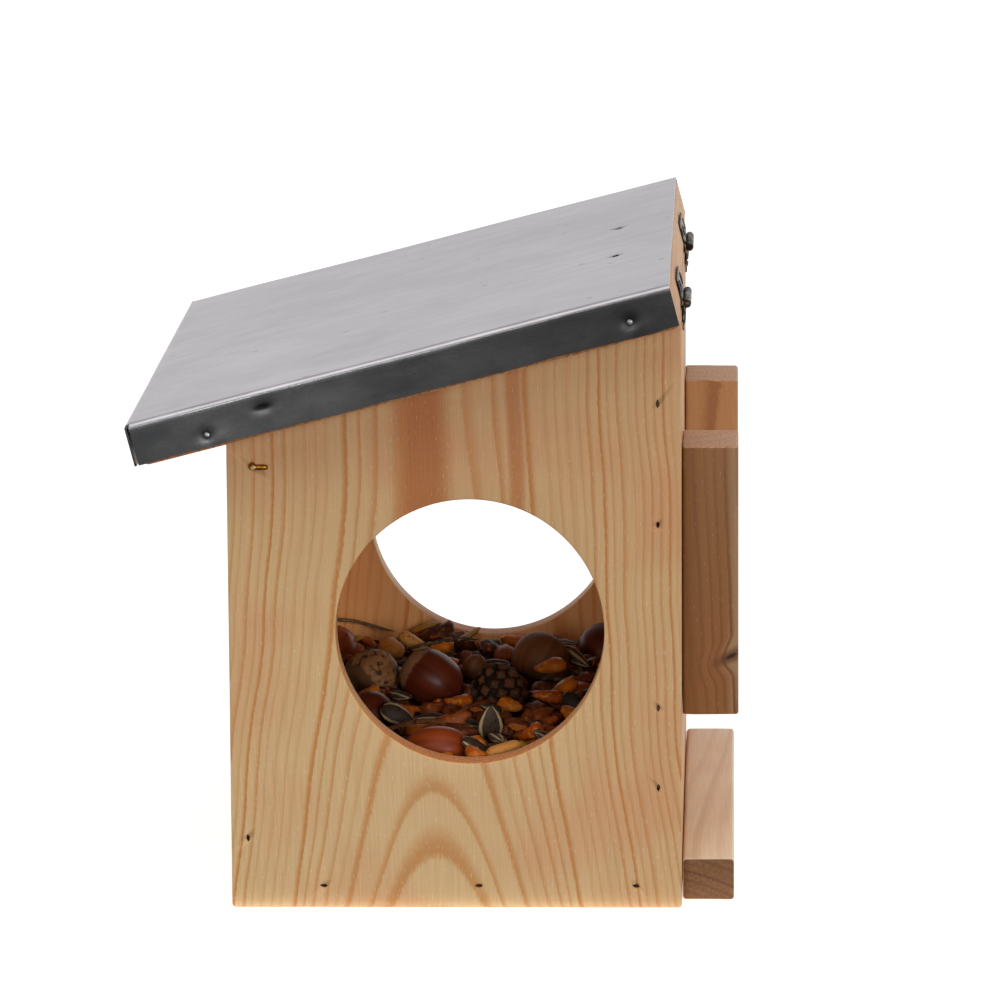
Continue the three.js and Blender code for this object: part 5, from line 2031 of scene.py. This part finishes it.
@dataclass(frozen=True)
class NutFinish:
    """A nut's shell: polished and dark with fine lines from foot to tip, and a pale matt foot."""

    name: str
    shell: Colour
    streak: Colour
    foot: Colour
    roughness: float
    foot_share: float = 0.16
    blotch: float = 0.0
    spot: Colour = srgb(52, 34, 22)
    pit: Colour = srgb(96, 70, 46)

    def material(self) -> Material:
        """The finish.

        Returns:
            A material.
        """
        graph = Graph(self.name)
        place, along, around = graph.millimetres(), graph.number("along"), graph.number("around")
        sine, cosine = graph.math("SINE", around), graph.math("COSINE", around)
        streaks = graph.noise(graph.combine(sine, cosine, graph.times(along, 0.25)), 3.4, 3.0, 0.5)
        colour = graph.mix(graph.rise(streaks, 0.35, 0.7), self.shell, self.streak)
        colour = graph.shaded(colour, graph.noise(place, 0.12, 3.0), 0.6, 1.4)
        if self.blotch:
            specks = graph.rise(graph.noise(place, 0.32, 3.0, 0.6), 0.5, 0.62)
            colour = graph.mix(graph.times(specks, self.blotch), colour, self.spot)
        edge = graph.line(graph.noise(place, 0.7, 3.0), 0.06, along)
        foot = graph.fall(edge, self.foot_share + 0.02, self.foot_share + 0.06)
        pits = graph.noise(place, 2.4, 3.0, 0.7)
        colour = graph.mix(foot, colour, graph.mix(graph.rise(pits, 0.4, 0.7), self.foot, self.pit))
        roughness = graph.line(foot, 0.45, graph.spread(streaks, self.roughness, self.roughness + 0.14))
        normal = graph.bump(graph.times(pits, foot), 0.5, 0.5, graph.bump(streaks, 0.12, 0.2))
        return graph.finish(colour, roughness, normal, Specular_IOR_Level=0.24)


@dataclass(frozen=True)
class Nut:
    """One nut: where it lies, where its tip points, its girth and length, its look and CAD node."""

    name: str
    place: Triple
    tip: Triple
    radius: float
    length: float
    look: NutFinish
    node: str | None = None
    outline: tuple[Pair, ...] = (
        (0.0, -0.44), (0.22, -0.45), (0.42, -0.475), (0.56, -0.47), (0.72, -0.42), (0.86, -0.33),
        (0.95, -0.22), (1.0, -0.08), (0.985, 0.06), (0.92, 0.19), (0.8, 0.3), (0.63, 0.39),
        (0.42, 0.45), (0.22, 0.485), (0.08, 0.505), (0.0, 0.52),
    )

    def matrix(self) -> Array:
        """The nut's turn and shift: its own +Z points to its tip.

        Returns:
            A 4 by 4 matrix.
        """
        ahead = np.asarray(self.tip) / np.linalg.norm(self.tip)
        side = np.cross((0.0, 0.1, 1.0), ahead)
        side /= np.linalg.norm(side)
        return placed(self.place, np.stack([side, np.cross(ahead, side), ahead], axis=1))

    def shell(self) -> Shell:
        """The nut's skin: a broad, slightly hollow foot, a full middle, a small point, and faint
        lobes round it. The outline is cut finer and evened out three times.

        Returns:
            A closed surface, with its share of the way along and its angle round.
        """
        fine, index = np.linspace(0.0, len(self.outline) - 1.0, 46), np.arange(len(self.outline))
        profile = np.stack([np.interp(fine, index, values) for values in zip(*self.outline)], axis=1)
        for _ in range(3):
            inner = [np.convolve(values, (0.25, 0.5, 0.25), "valid") for values in profile.T]
            profile = np.concatenate([profile[:1], np.stack(inner, axis=1), profile[-1:]])
        turned = lathe(profile * (self.radius, self.length), 56, fields=True)
        around, along = turned.fields["around"], turned.fields["along"]
        lobes = 1.0 + 0.022 * np.sin(3.0 * around + 1.0) * np.sin(math.pi * along)
        lobes += 0.012 * np.sin(7.0 * around)
        return replace(turned, points=turned.points * spots(lobes * 1.03, lobes * 0.97, 1.0))


DARK_NUT = NutFinish("hazelnut_dark", srgb(78, 28, 12), srgb(94, 36, 16), srgb(150, 102, 68), 0.34, 0.36)
BROWN_NUT = NutFinish("hazelnut_brown", srgb(104, 62, 33), srgb(130, 80, 44), srgb(150, 104, 64), 0.5, 0.14)
TAN_NUT = NutFinish("hazelnut_tan", srgb(132, 84, 46), srgb(156, 108, 64), srgb(104, 66, 38), 0.55, 0.3, 0.95)
RED_NUT = NutFinish("hazelnut_red", srgb(124, 48, 16), srgb(146, 62, 22), srgb(164, 118, 78), 0.34, 0.14)

NUTS = (
    Nut("nut_dark", (-10.7, -13.1, 51.5), (0.3, 0.82, -0.5), 10.2, 22.6, DARK_NUT, "hazelnut_1"),
    Nut("nut_tan", (-19.3, -34.6, 51.4), (-0.6, 0.62, 0.3), 9.8, 18.6, TAN_NUT, "hazelnut_2"),
    Nut("nut_brown", (-46.7, 23.9, 51.8), (-0.35, 0.5, 0.75), 10.4, 18.5, BROWN_NUT, "hazelnut_3"),
    Nut("nut_red", (81.5, -7.0, 46.2), (0.25, 0.92, 0.1), 8.6, 22.0, RED_NUT),
    Nut("nut_wine", (28.9, -33.6, 46.5), (-0.2, 0.7, 0.4), 9.4, 19.0, DARK_NUT),
    Nut("nut_small", (-37.7, 0.7, 50.4), (0.1, 0.4, 0.85), 4.6, 9.5, BROWN_NUT),
    Nut("nut_back_1", (-72.0, -52.0, 49.5), (0.3, 0.5, 0.6), 9.6, 19.0, RED_NUT),
    Nut("nut_back_2", (38.0, 48.5, 47.8), (0.7, -0.5, 0.4), 9.8, 19.5, BROWN_NUT),
    Nut("nut_back_3", (-84.0, 46.0, 48.0), (-0.5, -0.5, 0.5), 9.9, 19.0, DARK_NUT),
)


@dataclass(frozen=True)
class Cone:
    """A small closed cone: an egg-shaped core under rows of blunt scales in a spiral."""

    place: Triple = (4.0, 10.3, 51.0)
    turns: Triple = (1.15, 0.55, 0.3)
    radius: float = 8.9
    half_length: float = 9.6
    scales: int = 46
    scale_size: float = 2.02
    scale_rise: float = 1.15
    lean: float = 0.28

    def _scale(self) -> Shell:
        """One scale of unit half sizes: a pillow with a blunt tip, and a narrower foot under it.

        Returns:
            A closed surface, with its height where it is seen.
        """
        u, v = np.meshgrid(np.linspace(-1.0, 1.0, 7), np.linspace(-1.0, 1.0, 7), indexing="ij")
        swell = np.sqrt(np.clip(1.0 - np.maximum(np.abs(u), np.abs(v)) ** 3, 0.0, 1.0))
        top = spots(u, v, swell + 0.55 * np.exp(-7.0 * (u**2 + (v - 0.1) ** 2)))
        loop = np.concatenate([top, spots(u * 0.72, v * 0.72, -0.9)[:, ::-1]], axis=1)
        ends = [np.repeat(loop[end].mean(axis=0)[None, None], loop.shape[1], axis=1) for end in (0, -1)]
        tip = np.pad(top[..., 2], ((1, 1), (0, top.shape[1])))
        return grid_shell(np.concatenate([ends[0], loop, ends[1]]), fields={"tip": tip})

    def build(self) -> None:
        """Makes the cone. Scale after scale turns on by the golden angle, and its height goes up in
        equal steps, so that each has the same share of the core."""
        core = pod(grain_outline, 16, 24)
        points = core.points[:, [1, 2, 0]] * (self.radius - 1.4, self.radius - 1.4, self.half_length - 1.0)
        bare = np.zeros(len(points))
        pillow, rng = self._scale(), np.random.default_rng(5)
        shells = [Shell(points, core.faces, {"tip": bare, "tint": bare})]
        egg = np.array([self.radius, self.radius, self.half_length])
        for index in range(self.scales):
            height = 0.95 * (2.0 * (index + 0.5) / self.scales - 1.0)
            ring = math.sqrt(1.0 - height**2)
            angle = index * math.pi * (3.0 - math.sqrt(5.0))
            spot = np.array([ring * math.cos(angle), ring * math.sin(angle), height])
            out = spot / egg
            out /= np.linalg.norm(out)
            across = np.array([-math.sin(angle), math.cos(angle), 0.0])
            up = np.cross(out, across)
            lean = self.lean + 0.1 * rng.normal()
            face = math.cos(lean) * out + math.sin(lean) * up
            rise = math.cos(lean) * up - math.sin(lean) * out
            half = self.scale_size * (0.75 + 0.32 * ring) * rng.uniform(0.9, 1.08)
            turned = np.stack([across * half, rise * half, face * self.scale_rise], axis=1)
            one = pillow.moved(placed(spot * (egg - (1.1, 1.1, 0.6)), turned))
            tint = np.full(len(one.points), rng.uniform())
            shells.append(replace(one, fields={**one.fields, "tint": tint}))
        shell = Shell.joined(shells).moved(placed(self.place, turn(self.turns)))
        place_piece("cone", shell, self._material(), Body.BOX, ["woody_cone"], 50.0)

    @staticmethod
    def _material() -> Material:
        """Dull brown scales, lighter on their swollen tips, with painted shade that makes their edges,
        undersides and the core between them nearly black.

        Returns:
            A material.
        """
        graph = Graph("cone_scale")
        place, tip = graph.millimetres(), graph.number("tip")
        grain = graph.noise(place, 2.2, 4.0, 0.65)
        colour = graph.mix(graph.number("tint"), srgb(72, 43, 24), srgb(98, 60, 33))
        # Painted shade: scale edges, undersides and the core between the scales are nearly black.
        colour = graph.mix(graph.fall(tip, 0.2, 0.8), colour, srgb(34, 19, 10))
        colour = graph.mix(graph.rise(tip, 1.2, 1.55), colour, srgb(112, 71, 40))
        colour = graph.shaded(colour, grain, 0.65, 1.35)
        roughness, normal = graph.spread(grain, 0.55, 0.8), graph.bump(grain, 0.5, 0.4)
        return graph.finish(colour, roughness, normal, Specular_IOR_Level=0.15)


@dataclass
class Feed:
    """The bed of nuts and seeds."""

    seed: int = 19

    def build(self) -> None:
        """Lays the nuts and the seeds that the entrance shows best, and then fills in the rest."""
        heap = Heap(self.seed)
        for nut in NUTS:
            matrix = nut.matrix()
            half = (nut.radius, nut.radius, nut.length / 2.0)
            heap.settle(nut.place, matrix[:3, :3], half, 0.75 * nut.radius)
            nodes = [nut.node] if nut.node else []
            skin = nut.shell().moved(matrix)
            place_piece(nut.name, skin, nut.look.material(), Body.BOX, nodes, 60.0)
        cone = Cone()
        egg = (cone.radius, cone.radius, cone.half_length)
        heap.settle(cone.place, turn(cone.turns), egg, 0.85 * cone.radius)
        cone.build()
        for _, place, angles, half in CHOSEN:
            heap.settle(place, turn(angles), half, 0.7 * half[1])
        for number, kind in enumerate(SEEDS):
            draw = heap.rng.uniform
            sizes = np.array(kind.half) * draw(0.8, 1.18, (kind.count, 1)) * draw(0.92, 1.08, (kind.count, 3))
            places, sizes = heap.scatter(sizes, kind.lean)
            log.info("%s: %d of %d laid", kind.name, len(sizes), kind.count)
            chosen = [seed for seed in CHOSEN if seed[0] == kind.name]
            if chosen:
                own = [placed(place, turn(angles)) for _, place, angles, _ in chosen]
                places = np.concatenate([own, places])
                sizes = np.concatenate([[half for *_, half in chosen], sizes])
            seed = pod(kind.profile, kind.rows, kind.columns)
            shell = strewn(seed, sizes, places, 90 + number, kind.rough, kind.curl)
            place_piece(kind.name, shell, kind.look.material(), Body.BOX, crease=80.0)
        self._bed(heap)

    def _bed(self, heap: Heap) -> None:
        """The bed under the seeds: a lumpy closed block of dusty feed, painted as dark as the shaded gaps
        between seeds.

        Args:
            heap: The heap whose bare bed it is.
        """
        x = np.linspace(-heap.half_x, heap.half_x, 106)
        y = np.linspace(-heap.half_y, heap.half_y, 65)
        flat = spots(x[:, None], y)
        top = heap.bed(x[:, None], y) + 1.0 + 0.9 * ripples(flat, 6.0, 97, 12)
        grid = np.pad(np.dstack([flat, top]), ((2, 2), (2, 2), (0, 0)), mode="edge")
        grid[[0, 1, -2, -1], :, 2] = grid[:, [0, 1, -2, -1], 2] = heap.bottom
        grid[[0, -1], :, :2] = grid[:, [0, -1], :2] = 0.0
        graph = Graph("feed_dust_and_shade")
        grain = graph.noise(graph.millimetres(), 0.9, 4.0, 0.7)
        # Dusty feed, painted dark for the shade in the gaps between seeds.
        colour = graph.mix(grain, srgb(46, 28, 16), srgb(108, 66, 34))
        finish = graph.finish(colour, 0.85, graph.bump(grain, 0.8, 0.8), Specular_IOR_Level=0.15)
        shell = grid_shell(grid, wrap_columns=False)
        place_piece("feed_base", shell, finish, Body.BOX, ["feed_bed"], 60.0)


# The studio


@dataclass(frozen=True)
class Studio:
    """The floor, the soft lights and the camera, in metres and degrees.

    A light is its name, its place, its power in watts and its side. The skies are rows of height
    and brightness: what the feeder sees behind it, and on the camera's side.
    """

    focal_length: float = 243.12
    sensor: float = 36.0
    camera: Triple = (2.30694, 0.09167, 0.52783)
    looks_down: float = 10.0835
    looks_aside: float = 1.9967
    roll: float = -0.3609
    floor_near: float = 0.119
    floor_far: float = -1.0
    floor_half: float = 0.9
    floor_top: float = -0.00005
    floor_glow: float = 0.6
    lit_spot: Triple = (0.0, 0.0, 0.12)
    lights: tuple[tuple[str, Triple, float, float], ...] = (
        ("key", (1.2, -0.5, 1.6), 11.2, 1.9),
        ("fill", (0.9, 1.4, 0.7), 1.8, 0.9),
        ("rear", (-1.35, 0.85, 0.42), 1.4, 0.8),
        ("front", (2.1, 0.6, 0.42), 15.0, 0.5),
        ("side", (2.15, -0.3, 0.46), 6.6, 0.4),
    )
    sky_strength: float = 1.15
    sky_behind: tuple[Pair, ...] = ((0.0, 1.0), (0.22, 0.95), (0.4, 0.3), (0.74, 0.3), (0.92, 0.6))
    sky_before: tuple[Pair, ...] = ((0.0, 0.03), (0.35, 0.04), (0.85, 0.5), (0.95, 0.6))

    def build(self) -> None:
        """Sets up everything that isn't the feeder."""
        self._camera()
        self._floor()
        self._world()
        self._lights()
        bpy.context.scene.view_settings.view_transform = "Standard"

    def _camera(self) -> None:
        """The camera. It looks along -X, turned a little aside and down, and rolled a little."""
        pitch, yaw, roll = map(math.radians, (self.looks_down, self.looks_aside, self.roll))
        ahead = Vector((-math.cos(yaw) * math.cos(pitch), -math.sin(yaw) * math.cos(pitch), -math.sin(pitch)))
        level = Vector((-math.sin(yaw), math.cos(yaw), 0.0))
        upright = level.cross(ahead)
        right = level * math.cos(roll) + upright * math.sin(roll)
        up = upright * math.cos(roll) - level * math.sin(roll)
        data = bpy.data.cameras.new("camera")
        data.lens, data.sensor_width = self.focal_length, self.sensor
        data.clip_start, data.clip_end = 0.05, 50.0
        camera = bpy.data.objects.new("camera", data)
        bpy.context.scene.collection.objects.link(camera)
        turned = Matrix((right, up, -ahead)).transposed().to_4x4()
        camera.matrix_world = Matrix.Translation(self.camera) @ turned
        bpy.context.scene.camera = camera

    def _floor(self) -> None:
        """A plain pale floor that runs far behind the feeder and ends a little before it."""
        x, y = np.array([self.floor_far, self.floor_near]), np.array([self.floor_half, -self.floor_half])
        shell = grid_shell(spots(x, y[:, None], self.floor_top) * MM_PER_METRE, wrap_columns=False)
        floor = bpy.data.objects.new("floor", make_mesh("floor", shell, 30.0, False))
        bpy.context.scene.collection.objects.link(floor)
        graph = Graph("floor")
        pale = graph.mix(graph.noise(graph.millimetres(), 0.004), srgb(240, 240, 240), srgb(247, 247, 246))
        white = (1.0, 1.0, 1.0, 1.0)
        finish = graph.finish(pale, 0.9, Emission_Color=white, Emission_Strength=self.floor_glow)
        floor.data.materials.append(finish)

    def _world(self) -> None:
        """Plain white behind the feeder. What the feeder itself sees is bright low down behind it
        and overhead, with a dim band between, and dark on the camera's side up to half height."""
        world = bpy.data.worlds.new("studio")
        bpy.context.scene.world = world
        graph = Graph("studio", world)
        sight = graph.node("LightPath", {}).outputs["Is Camera Ray"]
        x, _, z = graph.split(graph.source.outputs["Generated"])
        behind, before = (graph.grey_ramp(z, stops) for stops in (self.sky_behind, self.sky_before))
        colour = graph.mix(sight, graph.mix(graph.rise(x, -0.25, 0.35), behind, before), (1.0, 1.0, 1.0, 1.0))
        graph.close("Background", {"Color": colour, "Strength": self.sky_strength})

    def _lights(self) -> None:
        """The soft square lights, which all face the feeder's middle."""
        for name, place, power, size in self.lights:
            data = bpy.data.lights.new(name, "AREA")
            data.energy, data.size = power, size
            light = bpy.data.objects.new(name, data)
            bpy.context.scene.collection.objects.link(light)
            light.location = place
            aim = Vector(self.lit_spot) - Vector(place)
            light.rotation_euler = aim.to_track_quat("-Z", "Y").to_euler()


def main() -> None:
    """Builds the feeder piece by piece, then the studio."""
    logging.basicConfig(level=logging.INFO, format="%(name)s: %(message)s")
    brads = Brads()
    Boards().build(brads)
    BATTENS.build(brads)
    for part in (brads, Hook(), Lid(), Hinges(), Feed(), Studio()):
        part.build()
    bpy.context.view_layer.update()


if __name__ == "__main__":
    main()
